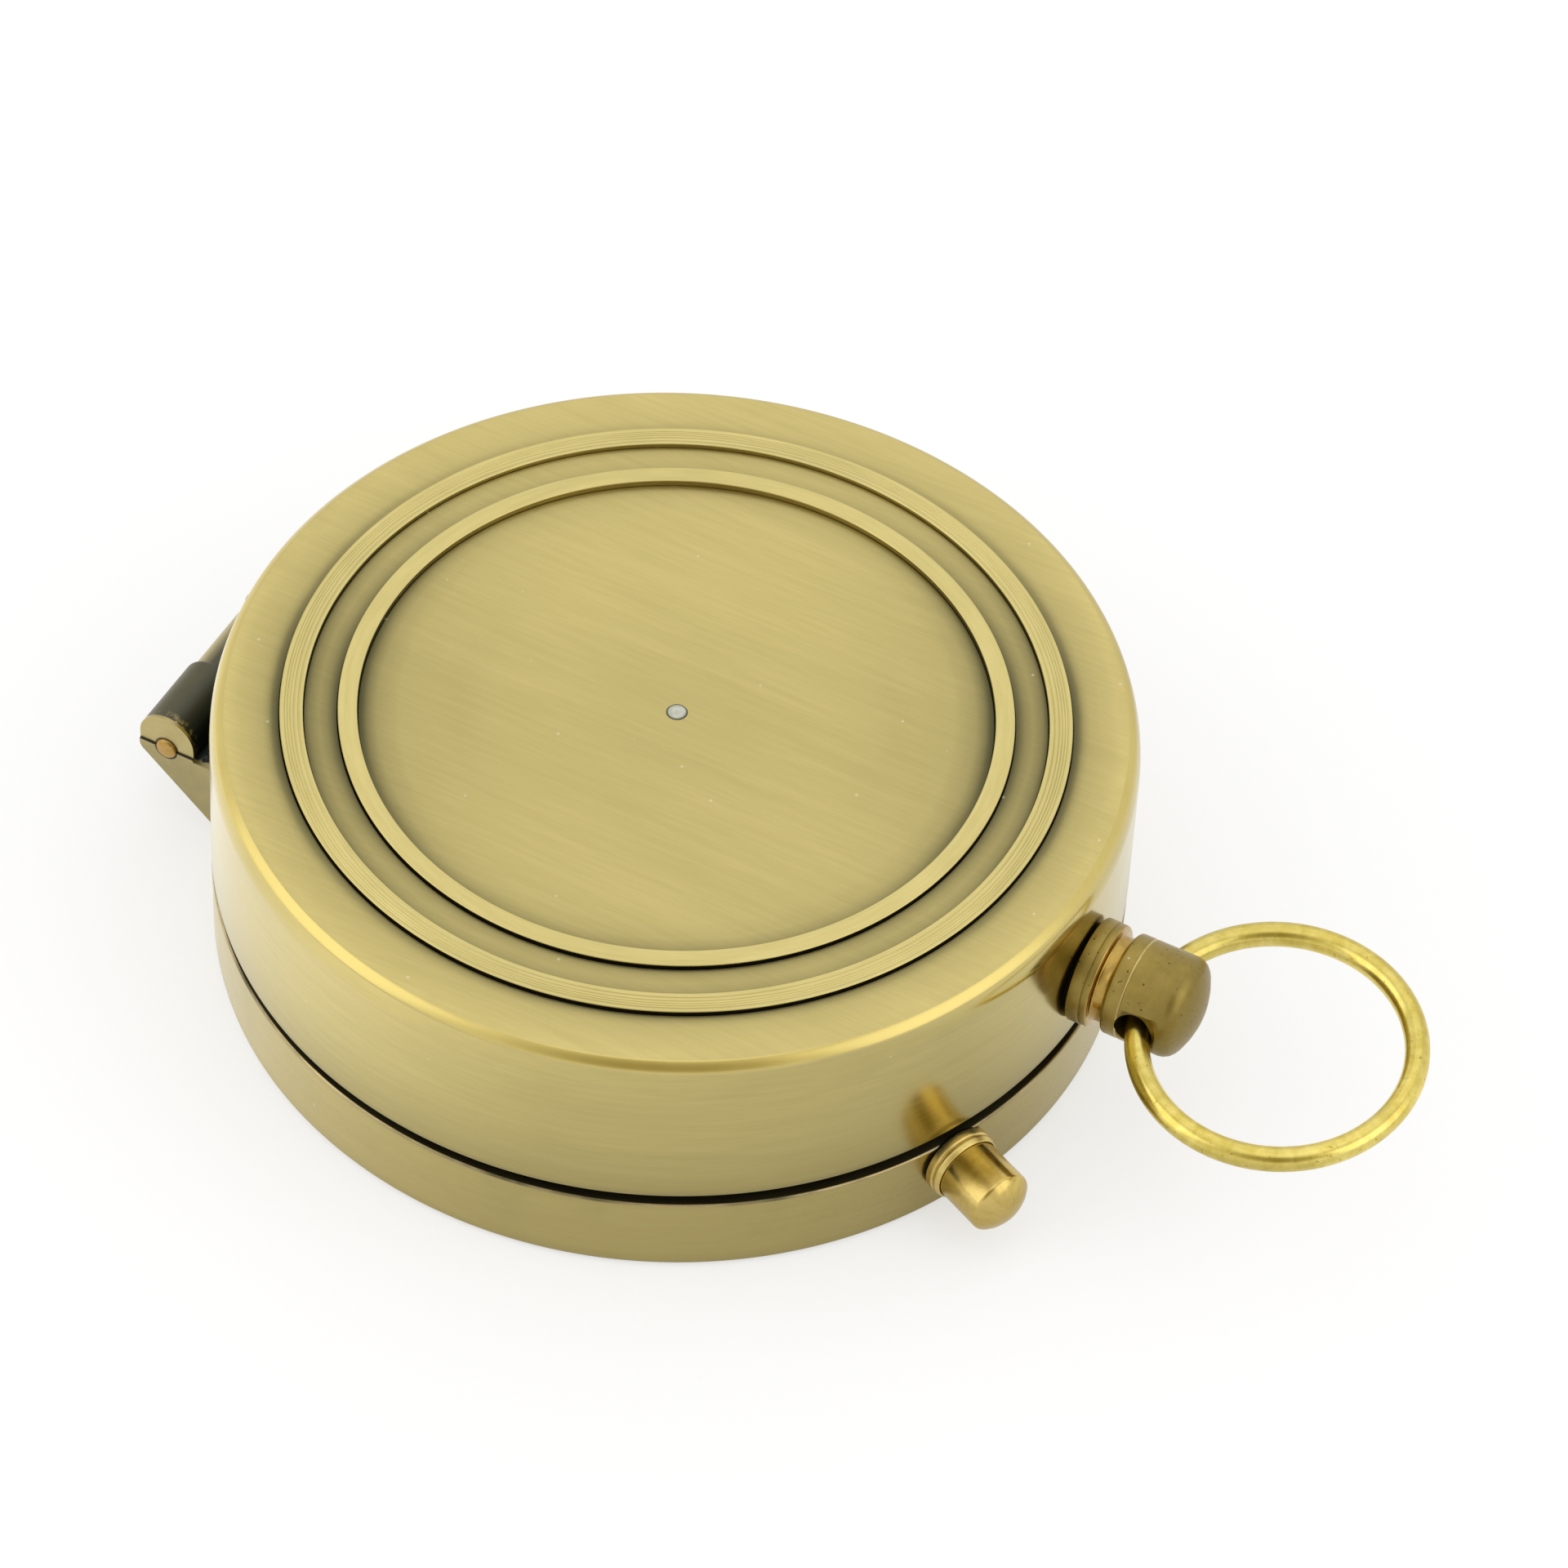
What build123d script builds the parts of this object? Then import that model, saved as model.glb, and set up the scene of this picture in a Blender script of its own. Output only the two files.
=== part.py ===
from build123d import *
import math
import os

# Pocket compass, closed and lying face down on its lid.
# Millimetres, +Z up, +X from the hinge to the pendant, origin at the centre of the lid's underside.

# Case
CASE_R = 30.0            # outer radius of lid and bowl at the parting line
PARTING_GAP = 0.75       # open line between the lid and the bowl
EDGE_BREAK = 0.15        # small chamfer on turned edges

# Lid
LID_H = 6.2
LID_WALL = 1.8
LID_FLOOR = 1.4
LID_FOOT_FILLET = 0.5
LID_INNER_FILLET = 0.3

# Bowl
BOWL_H = 11.95           # from the mouth to the flat back
BOWL_DRAFT = 0.15        # radius lost from the mouth to the back
BOWL_WALL = 2.5
BOWL_FLOOR = 1.6
RIM_CHAMFER_W = 0.7
RIM_CHAMFER_H = 0.65
LAND_W = 4.5             # rim to the outer bead
OUTER_BEAD_W = 1.5
CHANNEL_W = 2.2
INNER_BEAD_W = 1.25
BEAD_H = 0.45
BEAD_EDGE = 0.14

# Glass and dial
GLASS_LEDGE_W = 1.5
GLASS_T = 1.5
GLASS_PLAY = 0.2
GASKET_T = 0.3
GASKET_W = 1.2
BEZEL_T = 0.9
BEZEL_W = 2.3
MOUTH_DEPTH = 2.65       # mouth to the bezel, room for the latch
DIAL_T = 0.5
DIAL_PLAY = 0.2
DIAL_RING_T = 0.9
DIAL_RING_W = 3.2

# Needle and pivot
PIVOT_R = 0.65
PIVOT_HEAD_DOME = 0.1
PIVOT_SHOULDER_R = 1.5
PIVOT_TIP_R = 0.08
NEEDLE_L = 44.0
NEEDLE_W = 5.0
NEEDLE_HOLE_R = 1.1
CAP_FLANGE_R = 2.4
CAP_R = 1.5
JEWEL_R = 0.7
JEWEL_CUP_R = 0.45
JEWEL_PLAY = 0.07        # air between the pivot's tip and the jewel

# Heights as shares of the room between the glass and the dial
GLASS_AIR_SHARE = 0.125
CAP_CROWN_SHARE = 0.075  # brass between the jewel and the top of the cap
JEWEL_SHARE = 0.2
JEWEL_CUP_SHARE = 0.045
CAP_FLANGE_SHARE = 0.05
NEEDLE_SHARE = 0.085
PIVOT_SHOULDER_SHARE = 0.145
PIVOT_CONE_SHARE = 0.26

# Hinge
KNUCKLE_R = 2.05
KNUCKLE_RISE = 0.7       # centre of the knuckle's arch above the pin
KNUCKLE_L = 6.4
KNUCKLE_STEP = 0.12      # arch set back from the gusset's end face
KNUCKLE_FILLET = 0.5     # rounded inner end of each arch
TONGUE_R = 2.1
TONGUE_L = 6.4
TONGUE_PLAY = 0.15       # to each outer knuckle
HINGE_PIN_R = 0.8
HINGE_PIN_PLAY = 0.03
HINGE_PIN_PROUD = 0.15
PIN_ABOVE_RIM = 0.2
SWING_PLAY = 0.05        # arch to the bowl's nearest line as the bowl swings
GUSSET_ANGLE = 42.0
GUSSET_NOSE = 0.65       # start of the slope below the pin
GUSSET_NOSE_FILLET = 0.8
GUSSET_FOOT = 0.9        # lowest edge of the gusset

# Pendant and bow
PENDANT_ABOVE_MOUTH = 4.35
COLLAR_R = 3.5
COLLAR_T = 0.95
RING_R = 3.4
RING_T = 0.55
NECK_R = 2.9
NECK_T = 0.65
HEAD_R = 3.4
HEAD_L = 4.75
HEAD_DOME = 1.1
HEAD_EDGE_FILLET = 0.5
HEAD_GROOVE = 0.1
HEAD_GROOVE_AT = 1.2
SHANK_R = 2.0
SHANK_DEPTH = 1.8
HOLE_FROM_HEAD = 2.6     # cross hole from the head's inner end
BOW_R = 8.8
BOW_WIRE_R = 0.8
BOW_PLAY = 0.07
BOW_TILT = 4.5           # loose bow leans sideways in its hole
BOW_LIFT = 2.0

# Push button and latch
BUTTON_AZ = -24.5
BUTTON_BELOW_RIM = 2.2
BUSH_R = 2.45
BUSH_L = 1.3
BUSH_CUP_WALL = 0.21
BUSH_CUP_FLOOR = 0.2
BUSH_GROOVE = 0.12
BUSH_SHANK_R = 1.4
NUT_T = 0.8
NUT_FLATS = 3.6
STEM_R = 0.85
STEM_PLAY = 0.05
BUTTON_PLAY = 0.04
BUTTON_TRAVEL = 0.9
BUTTON_STOP = 0.05       # left under the head at full travel
BUTTON_HEAD_L = 3.05
BUTTON_DOME = 1.1
BUTTON_EDGE_FILLET = 0.45
LATCH_T = 0.7
LATCH_W = 6.0
LATCH_FLOOR_PLAY = 0.6
LATCH_BOSS_R = 1.5
LATCH_BOSS_PLAY = 0.15
NOSE_REACH = 0.8
NOSE_T = 0.65
NOSE_RAMP = 0.35
CATCH_REACH = 0.75
CATCH_T = 0.7
CATCH_W = 6.5
CATCH_ABOVE_MOUTH = 0.15
CATCH_RAMP = 0.3
CATCH_PLAY = 0.15
LATCH_WALL_PLAY = 0.25
SPRING_WIRE_R = 0.2
SPRING_R = 1.4
SPRING_TURNS = 4
SPRING_PITCH = 0.9
SPRING_PLAY = 0.05
STEM_TAIL = 0.7
POST_T = 0.8
POST_W = 5.0
POST_TOP_PLAY = 0.3
POST_FOOT_L = 3.5
POST_FOOT_T = 0.8
SPIGOT_R = 0.8
SPIGOT_L = 0.8
SCREW_R = 0.6
SCREW_HEAD_R = 1.2
SCREW_HEAD_T = 0.8
SCREW_SLOT_W = 0.3
SCREW_SLOT_D = 0.35
SCREW_BITE = 0.8

# Places worked out from the sizes
LID_INNER_R = CASE_R - LID_WALL
Z_MOUTH = LID_H + PARTING_GAP
Z_BACK = Z_MOUTH + BOWL_H
Z_FLOOR = Z_BACK - BOWL_FLOOR
BACK_R = CASE_R - BOWL_DRAFT
BORE_R = CASE_R - BOWL_WALL
CAPSULE_R = BORE_R - GLASS_LEDGE_W
Z_BEZEL = Z_MOUTH + MOUTH_DEPTH
Z_GLASS = Z_BEZEL + BEZEL_T
Z_GASKET = Z_GLASS + GLASS_T
Z_LEDGE = Z_GASKET + GASKET_T
Z_DIAL = Z_FLOOR - DIAL_T
DIAL_R = CAPSULE_R - DIAL_PLAY
NEEDLE_ROOM = Z_DIAL - Z_GASKET
CAP_CROWN = CAP_CROWN_SHARE * NEEDLE_ROOM
JEWEL_T = JEWEL_SHARE * NEEDLE_ROOM
JEWEL_CUP_DEPTH = JEWEL_CUP_SHARE * NEEDLE_ROOM
CAP_FLANGE_T = CAP_FLANGE_SHARE * NEEDLE_ROOM
NEEDLE_T = NEEDLE_SHARE * NEEDLE_ROOM
PIVOT_SHOULDER_T = PIVOT_SHOULDER_SHARE * NEEDLE_ROOM
PIVOT_CONE = PIVOT_CONE_SHARE * NEEDLE_ROOM
Z_CAP_TOP = Z_GASKET + GLASS_AIR_SHARE * NEEDLE_ROOM
Z_JEWEL = Z_CAP_TOP + CAP_CROWN + JEWEL_T
Z_PIVOT_TIP = Z_JEWEL - JEWEL_CUP_DEPTH + JEWEL_PLAY
Z_NEEDLE = Z_JEWEL + JEWEL_CUP_DEPTH + 2 * CAP_FLANGE_T
PIN_X = -(CASE_R + KNUCKLE_R + KNUCKLE_RISE + SWING_PLAY)
PIN_Z = LID_H + PIN_ABOVE_RIM
TONGUE_HALF = TONGUE_L / 2
KNUCKLE_IN = TONGUE_HALF + TONGUE_PLAY
HINGE_HALF = KNUCKLE_IN + KNUCKLE_L - TONGUE_PLAY
PENDANT_Z = Z_MOUTH + PENDANT_ABOVE_MOUTH
COLLAR_X = CASE_R + COLLAR_T
HEAD_X = COLLAR_X + RING_T + NECK_T
HOLE_X = HEAD_X + HOLE_FROM_HEAD
BOW_SAG = BOW_R - math.sqrt(BOW_R ** 2 - HEAD_R ** 2)
BOW_SLANT = HEAD_R * math.sin(math.radians(BOW_TILT))
HOLE_R = BOW_WIRE_R + math.hypot(BOW_SAG / 2, BOW_SLANT) + BOW_PLAY
BOW_REACH = BOW_R - BOW_SAG / 2
BUTTON_Z = LID_H - BUTTON_BELOW_RIM
CATCH_IN = BORE_R - CATCH_REACH
LATCH_OUT = CATCH_IN - LATCH_WALL_PLAY
LATCH_IN = LATCH_OUT - LATCH_T
Z_CATCH = Z_MOUTH + CATCH_ABOVE_MOUTH
Z_NOSE = Z_CATCH + CATCH_T + CATCH_PLAY
NUT_IN = LID_INNER_R - NUT_T
CUP_FLOOR_X = CASE_R + BUSH_CUP_FLOOR
CUP_R = BUSH_R - BUSH_CUP_WALL
HEAD_IN = CUP_FLOOR_X + BUTTON_STOP + BUTTON_TRAVEL
SPRING_LEN = SPRING_TURNS * SPRING_PITCH + 2 * (SPRING_WIRE_R + SPRING_PLAY)
POST_X = LATCH_IN - SPRING_LEN
SCREW_X = POST_X - POST_T - POST_FOOT_L / 2


def turned(points):
    """Solid of revolution about Z from a closed outline of (radius, height) points."""
    outline = Plane.XZ * make_face(Polyline(*points, close=True))
    return revolve(outline, Axis.Z)


def turned_along_x(points):
    """Solid of revolution about X from a closed outline of (x, radius) points."""
    return revolve(make_face(Polyline(*points, close=True)), Axis.X)


def drum(radius, z_low, z_high):
    """Upright cylinder on the case's axis."""
    return Pos(0, 0, z_low) * Cylinder(radius, z_high - z_low, align=(Align.CENTER, Align.CENTER, Align.MIN))


def rod_y(radius, x, z, half_length):
    """Cylinder across the case, along Y."""
    return Pos(x, 0, z) * Rot(90, 0, 0) * Cylinder(radius, 2 * half_length)


def rod_x(radius, x_low, x_high):
    """Cylinder on the X axis."""
    return Pos(x_low, 0, 0) * Rot(0, 90, 0) * Cylinder(
        radius, x_high - x_low, align=(Align.CENTER, Align.CENTER, Align.MIN)
    )


def slab(x_low, x_high, y_low, y_high, z_low, z_high):
    """Box between two corners."""
    corner = (Align.MIN, Align.MIN, Align.MIN)
    return Pos(x_low, y_low, z_low) * Box(x_high - x_low, y_high - y_low, z_high - z_low, align=corner)


def circles_at(part, z):
    """Round edges of a turned part that lie at one height."""
    return part.edges().filter_by(GeomType.CIRCLE).filter_by_position(Axis.Z, z - 0.001, z + 0.001)


def domed_head(x_in, x_out, radius, dome, edge_fillet):
    """Turned head along X with a shallow domed end and a rounded edge."""
    shoulder = (x_out, radius)
    crown = (x_out + dome, 0)
    sphere_r = (radius ** 2 + dome ** 2) / (2 * dome)
    with BuildSketch() as outline:
        with BuildLine():
            Polyline(crown, (x_in, 0), (x_in, radius), shoulder)
            RadiusArc(shoulder, crown, sphere_r)
        make_face()
    head = revolve(outline.sketch, Axis.X)
    edge = head.edges().filter_by(GeomType.CIRCLE).filter_by_position(Axis.X, x_out - 0.001, x_out + 0.001)
    return fillet(edge, edge_fillet)


def at_pendant(part):
    """Raise a part built on the X axis to the pendant's axis."""
    return Pos(0, 0, PENDANT_Z) * part


def at_button(part):
    """Swing a part built on the X axis round to the push button."""
    return Rot(0, 0, BUTTON_AZ) * (Pos(0, 0, BUTTON_Z) * part)


def lid_shell():
    """Shallow turned lid with the button's hole and the post's screw hole."""
    shell = turned([
        (0, 0), (CASE_R, 0), (CASE_R, LID_H), (LID_INNER_R, LID_H), (LID_INNER_R, LID_FLOOR), (0, LID_FLOOR),
    ])
    shell = fillet(circles_at(shell, 0), LID_FOOT_FILLET)
    shell = fillet(circles_at(shell, LID_FLOOR), LID_INNER_FILLET)
    shell = chamfer(circles_at(shell, LID_H), EDGE_BREAK)
    shell -= at_button(rod_x(BUSH_SHANK_R, NUT_IN, CASE_R + BUSH_L))
    shell -= at_button(Pos(SCREW_X, 0, LID_FLOOR - SCREW_BITE - BUTTON_Z) * Cylinder(
        SCREW_R, SCREW_BITE, align=(Align.CENTER, Align.CENTER, Align.MIN)
    ))
    return shell


def lid_hinge_bracket():
    """Gusset on the lid's side with two arched outer knuckles."""
    left = PIN_X - KNUCKLE_R
    right = PIN_X + KNUCKLE_R
    z_arch = PIN_Z + KNUCKLE_RISE
    z_nose = PIN_Z - GUSSET_NOSE
    x_foot = left + (z_nose - GUSSET_FOOT) / math.tan(math.radians(GUSSET_ANGLE))
    x_wall = -math.sqrt(LID_INNER_R ** 2 - HINGE_HALF ** 2)
    x_foot = min(x_foot, x_wall - EDGE_BREAK)
    with BuildSketch(Plane.XZ) as outline:
        with BuildLine():
            ThreePointArc((left, z_arch), (PIN_X, z_arch + KNUCKLE_R), (right, z_arch))
            Polyline(
                (right, z_arch), (right, LID_H), (x_wall, LID_H), (x_wall, GUSSET_FOOT),
                (x_foot, GUSSET_FOOT), (left, z_nose), (left, z_arch),
            )
        make_face()
    bracket = extrude(outline.sketch, HINGE_HALF, both=True)
    nose = bracket.edges().filter_by(Axis.Y).sort_by_distance((left, 0, z_nose))[0]
    bracket = fillet(nose, GUSSET_NOSE_FILLET)
    bracket -= drum(CASE_R, 0, LID_H + KNUCKLE_RISE)
    tongue_space = KNUCKLE_RISE + KNUCKLE_R + EDGE_BREAK
    bracket -= rod_y(tongue_space, PIN_X, PIN_Z, KNUCKLE_IN)
    for side in (-1, 1):
        inner_arch = bracket.edges().filter_by(GeomType.CIRCLE).sort_by_distance(
            (PIN_X, side * KNUCKLE_IN, z_arch + KNUCKLE_R)
        )[0]
        bracket = fillet(inner_arch, KNUCKLE_FILLET)
    for side in (-1, 1):
        face_y = side * (HINGE_HALF - KNUCKLE_STEP / 2)
        step = Box(4 * KNUCKLE_R, KNUCKLE_STEP, KNUCKLE_RISE + KNUCKLE_R, align=(Align.CENTER, Align.CENTER, Align.MIN))
        bracket -= Pos(PIN_X - EDGE_BREAK, face_y, PIN_Z) * step
    bracket -= rod_y(HINGE_PIN_R, PIN_X, PIN_Z, HINGE_HALF)
    return bracket


def hinge_pin():
    """Pin held in the outer knuckles, with rounded proud ends."""
    pin = rod_y(HINGE_PIN_R, PIN_X, PIN_Z, HINGE_HALF + HINGE_PIN_PROUD)
    return chamfer(pin.edges().filter_by(GeomType.CIRCLE), HINGE_PIN_PROUD)


def bowl_outside():
    """Full outside of the bowl: drafted side, chamfered rim and two raised beads on the back."""
    bead_top = Z_BACK + BEAD_H
    outline = [(0, Z_MOUTH), (CASE_R, Z_MOUTH), (BACK_R, Z_BACK - RIM_CHAMFER_H), (BACK_R - RIM_CHAMFER_W, Z_BACK)]
    edge = BACK_R - LAND_W
    for width in (OUTER_BEAD_W, INNER_BEAD_W):
        inner = edge - width
        outline += [
            (edge, Z_BACK), (edge, bead_top - BEAD_EDGE), (edge - BEAD_EDGE, bead_top),
            (inner + BEAD_EDGE, bead_top), (inner, bead_top - BEAD_EDGE), (inner, Z_BACK),
        ]
        edge = inner - CHANNEL_W
    outline.append((0, Z_BACK))
    return turned(outline)


def bowl_case():
    """Bowl with its stepped bore, the pendant's blind hole and the pivot's rivet hole."""
    case = bowl_outside()
    case = chamfer(circles_at(case, Z_MOUTH), EDGE_BREAK)
    case -= drum(BORE_R, Z_MOUTH, Z_LEDGE)
    case -= drum(CAPSULE_R, Z_LEDGE, Z_FLOOR)
    case -= drum(PIVOT_R, Z_FLOOR, Z_BACK)
    case -= at_pendant(rod_x(SHANK_R, CASE_R - SHANK_DEPTH, CASE_R + COLLAR_T))
    return case


def bowl_hinge_tongue():
    """Middle knuckle with a short web to the bowl's side."""
    web_low = Z_MOUTH + EDGE_BREAK
    web_top = PIN_Z + TONGUE_R
    tongue = rod_y(TONGUE_R, PIN_X, PIN_Z, TONGUE_HALF)
    tongue += slab(PIN_X, -BORE_R, -TONGUE_HALF, TONGUE_HALF, web_low, web_top)
    tongue -= bowl_outside()
    tongue -= rod_y(HINGE_PIN_R + HINGE_PIN_PLAY, PIN_X, PIN_Z, TONGUE_HALF)
    return tongue


def needle_pivot():
    """Steel pivot riveted through the bowl's floor, with a shoulder and a cone tip."""
    z_shoulder = Z_DIAL - PIVOT_SHOULDER_T
    z_cone = Z_PIVOT_TIP + PIVOT_CONE
    return turned([
        (0, Z_PIVOT_TIP), (PIVOT_TIP_R, Z_PIVOT_TIP), (PIVOT_R, z_cone), (PIVOT_R, z_shoulder),
        (PIVOT_SHOULDER_R, z_shoulder), (PIVOT_SHOULDER_R, Z_DIAL), (PIVOT_R, Z_DIAL), (PIVOT_R, Z_BACK),
        (PIVOT_R / 2, Z_BACK + PIVOT_HEAD_DOME), (0, Z_BACK + PIVOT_HEAD_DOME),
    ])


def dial_plate():
    """Dial card on the bowl's floor."""
    return drum(DIAL_R, Z_DIAL, Z_FLOOR) - drum(PIVOT_R, Z_DIAL, Z_FLOOR)


def dial_ring():
    """Raised ring for the degree scale, bevelled on the inside."""
    inner = DIAL_R - DIAL_RING_W
    z_face = Z_DIAL - DIAL_RING_T
    return turned([
        (inner, Z_DIAL), (inner + DIAL_RING_T, z_face), (DIAL_R, z_face), (DIAL_R, Z_DIAL),
    ])


def needle():
    """Flat lozenge needle with a hole for its cap."""
    half_l = NEEDLE_L / 2
    half_w = NEEDLE_W / 2
    lozenge = make_face(Polyline((-half_l, 0), (0, -half_w), (half_l, 0), (0, half_w), close=True))
    blade = Pos(0, 0, Z_NEEDLE) * extrude(lozenge, NEEDLE_T)
    return blade - drum(NEEDLE_HOLE_R, Z_NEEDLE, Z_NEEDLE + NEEDLE_T)


def needle_cap():
    """Brass cap under the needle, hollow over the jewel."""
    z_flange = Z_NEEDLE - CAP_FLANGE_T
    return turned([
        (0, Z_CAP_TOP), (CAP_R / 2, Z_CAP_TOP), (CAP_R, Z_CAP_TOP + CAP_R / 2), (CAP_R, z_flange),
        (CAP_FLANGE_R, z_flange), (CAP_FLANGE_R, Z_NEEDLE), (NEEDLE_HOLE_R, Z_NEEDLE),
        (JEWEL_R, Z_JEWEL), (JEWEL_R, Z_JEWEL - JEWEL_T), (0, Z_JEWEL - JEWEL_T),
    ])


def cap_jewel():
    """Cup jewel that rides on the pivot's tip."""
    return turned([
        (0, Z_JEWEL - JEWEL_T), (JEWEL_R, Z_JEWEL - JEWEL_T), (JEWEL_R, Z_JEWEL),
        (JEWEL_CUP_R, Z_JEWEL), (0, Z_JEWEL - JEWEL_CUP_DEPTH),
    ])


def glass_gasket():
    """Thin ring between the ledge and the glass."""
    outer = BORE_R - GLASS_PLAY
    return drum(outer, Z_GASKET, Z_LEDGE) - drum(outer - GASKET_W, Z_GASKET, Z_LEDGE)


def cover_glass():
    """Flat cover glass with eased edges."""
    glass = drum(BORE_R - GLASS_PLAY, Z_GLASS, Z_GASKET)
    return chamfer(glass.edges().filter_by(GeomType.CIRCLE), EDGE_BREAK)


def bezel_ring():
    """Retaining ring that holds the glass, bevelled towards the mouth."""
    inner = BORE_R - BEZEL_W
    bevel = BEZEL_T / 2
    return turned([
        (inner, Z_GLASS), (inner, Z_BEZEL + bevel), (inner + bevel, Z_BEZEL), (BORE_R, Z_BEZEL), (BORE_R, Z_GLASS),
    ])


def pendant_collar():
    """Washer seated on the bowl's side."""
    collar = rod_x(COLLAR_R, BORE_R, COLLAR_X) - rod_x(SHANK_R, BORE_R, COLLAR_X)
    outer_edge = collar.edges().filter_by(GeomType.CIRCLE).sort_by(Axis.X)[-2:].sort_by(SortBy.RADIUS)[-1]
    collar = chamfer(outer_edge, EDGE_BREAK)
    return at_pendant(collar) - bowl_outside()


def pendant_post():
    """Turned pendant: shank, ring, neck groove and a domed head with the bow's cross hole."""
    x_neck = COLLAR_X + RING_T
    post = domed_head(HEAD_X, HEAD_X + HEAD_L, HEAD_R, HEAD_DOME, HEAD_EDGE_FILLET)
    post += rod_x(NECK_R, x_neck, HEAD_X)
    post += rod_x(RING_R, COLLAR_X, x_neck)
    post += rod_x(SHANK_R, CASE_R - SHANK_DEPTH, COLLAR_X)
    x_groove = HEAD_X + HEAD_GROOVE_AT
    post -= turned_along_x([
        (x_groove - HEAD_GROOVE, HEAD_R), (x_groove, HEAD_R - HEAD_GROOVE), (x_groove + HEAD_GROOVE, HEAD_R),
    ])
    post -= rod_y(HOLE_R, HOLE_X, 0, HEAD_R)
    return at_pendant(post)


def bow_ring():
    """Round wire bow, loose in the pendant's cross hole."""
    ring = Pos(BOW_REACH, 0, 0) * Rot(BOW_TILT, 0, 0) * Torus(BOW_R, BOW_WIRE_R)
    return Pos(HOLE_X, 0, PENDANT_Z) * Rot(0, -BOW_LIFT, 0) * ring


def button_bush():
    """Cup shaped bush in the lid's side that guides the button."""
    x_end = CASE_R + BUSH_L
    groove_x = CUP_FLOOR_X + (x_end - CUP_FLOOR_X) / 2
    collar = turned_along_x([
        (LID_INNER_R, 0), (LID_INNER_R, BUSH_R), (groove_x - BUSH_GROOVE, BUSH_R), (groove_x, BUSH_R - BUSH_GROOVE),
        (groove_x + BUSH_GROOVE, BUSH_R), (x_end, BUSH_R), (x_end, CUP_R), (CUP_FLOOR_X, CUP_R), (CUP_FLOOR_X, 0),
    ])
    collar = at_button(collar) - drum(CASE_R, 0, Z_BACK)
    bush = collar + at_button(rod_x(BUSH_SHANK_R, NUT_IN, CUP_FLOOR_X))
    return bush - at_button(rod_x(STEM_R + STEM_PLAY, NUT_IN, CUP_FLOOR_X))


def bush_nut():
    """Hexagon nut that clamps the bush inside the lid."""
    blank = extrude(Plane.YZ * RegularPolygon(NUT_FLATS / 2, 6, major_radius=False), LID_WALL + NUT_T)
    nut = at_button(Pos(NUT_IN, 0, 0) * blank - rod_x(BUSH_SHANK_R, NUT_IN, CASE_R))
    return nut & drum(LID_INNER_R, 0, LID_H)


def push_button():
    """Domed button with its stem."""
    head = domed_head(HEAD_IN, HEAD_IN + BUTTON_HEAD_L, CUP_R - BUTTON_PLAY, BUTTON_DOME, BUTTON_EDGE_FILLET)
    return at_button(head + rod_x(STEM_R, LATCH_IN - STEM_TAIL, HEAD_IN))


def latch_hook():
    """Hook plate on the stem, whose nose holds the bowl's catch."""
    z_low = LID_FLOOR + LATCH_FLOOR_PLAY - BUTTON_Z
    z_nose = Z_NOSE - BUTTON_Z
    z_top = z_nose + NOSE_T
    nose_tip = LATCH_OUT + NOSE_REACH
    with BuildSketch(Plane.XZ) as outline:
        with BuildLine():
            Polyline(
                (LATCH_IN, z_low), (LATCH_OUT, z_low), (LATCH_OUT, z_nose), (nose_tip, z_nose),
                (nose_tip, z_top - NOSE_RAMP), (nose_tip - NOSE_RAMP, z_top), (LATCH_IN, z_top), close=True,
            )
        make_face()
    hook = extrude(outline.sketch, LATCH_W / 2, both=True)
    hook += rod_x(LATCH_BOSS_R, LATCH_OUT, NUT_IN - LATCH_BOSS_PLAY)
    hook -= rod_x(STEM_R, LATCH_IN, NUT_IN)
    return at_button(hook)


def latch_catch():
    """Catch plate on the bowl's bore, ramped below for closing."""
    ramp_x = CATCH_IN + CATCH_RAMP
    with BuildSketch(Plane.XZ) as outline:
        with BuildLine():
            Polyline(
                (CATCH_IN, Z_CATCH + CATCH_T), (CATCH_IN, Z_CATCH + CATCH_RAMP), (ramp_x, Z_CATCH),
                (CASE_R, Z_CATCH), (CASE_R, Z_CATCH + CATCH_T), close=True,
            )
        make_face()
    plate = extrude(outline.sketch, CATCH_W / 2, both=True)
    return Rot(0, 0, BUTTON_AZ) * plate & drum(BORE_R, Z_MOUTH, Z_BEZEL)


def spring_point(turn):
    """Point and unit tangent of the spring's helix after a number of turns."""
    angle = 2 * math.pi * turn
    start = POST_X + SPRING_WIRE_R + SPRING_PLAY
    point = Vector(start + SPRING_PITCH * turn, SPRING_R * math.cos(angle), SPRING_R * math.sin(angle))
    round_speed = 2 * math.pi * SPRING_R
    tangent = Vector(SPRING_PITCH, -round_speed * math.sin(angle), round_speed * math.cos(angle))
    return point, tangent.normalized()


def quarter_turn(start_turn):
    """Two tangent arcs that follow a quarter turn of the spring."""
    p0, t0 = spring_point(start_turn)
    p1, t1 = spring_point(start_turn + 0.25)
    chord = p1 - p0
    a = 2 * (t0.dot(t1) - 1)
    b = -2 * chord.dot(t0 + t1)
    c = chord.dot(chord)
    reach = (-b - math.sqrt(b * b - 4 * a * c)) / (2 * a)
    q0 = p0 + t0 * reach
    q1 = p1 - t1 * reach
    middle = (q0 + q1) * 0.5
    return [TangentArc(p0, middle, tangent=t0), TangentArc(middle, p1, tangent=q1 - q0)]


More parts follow.
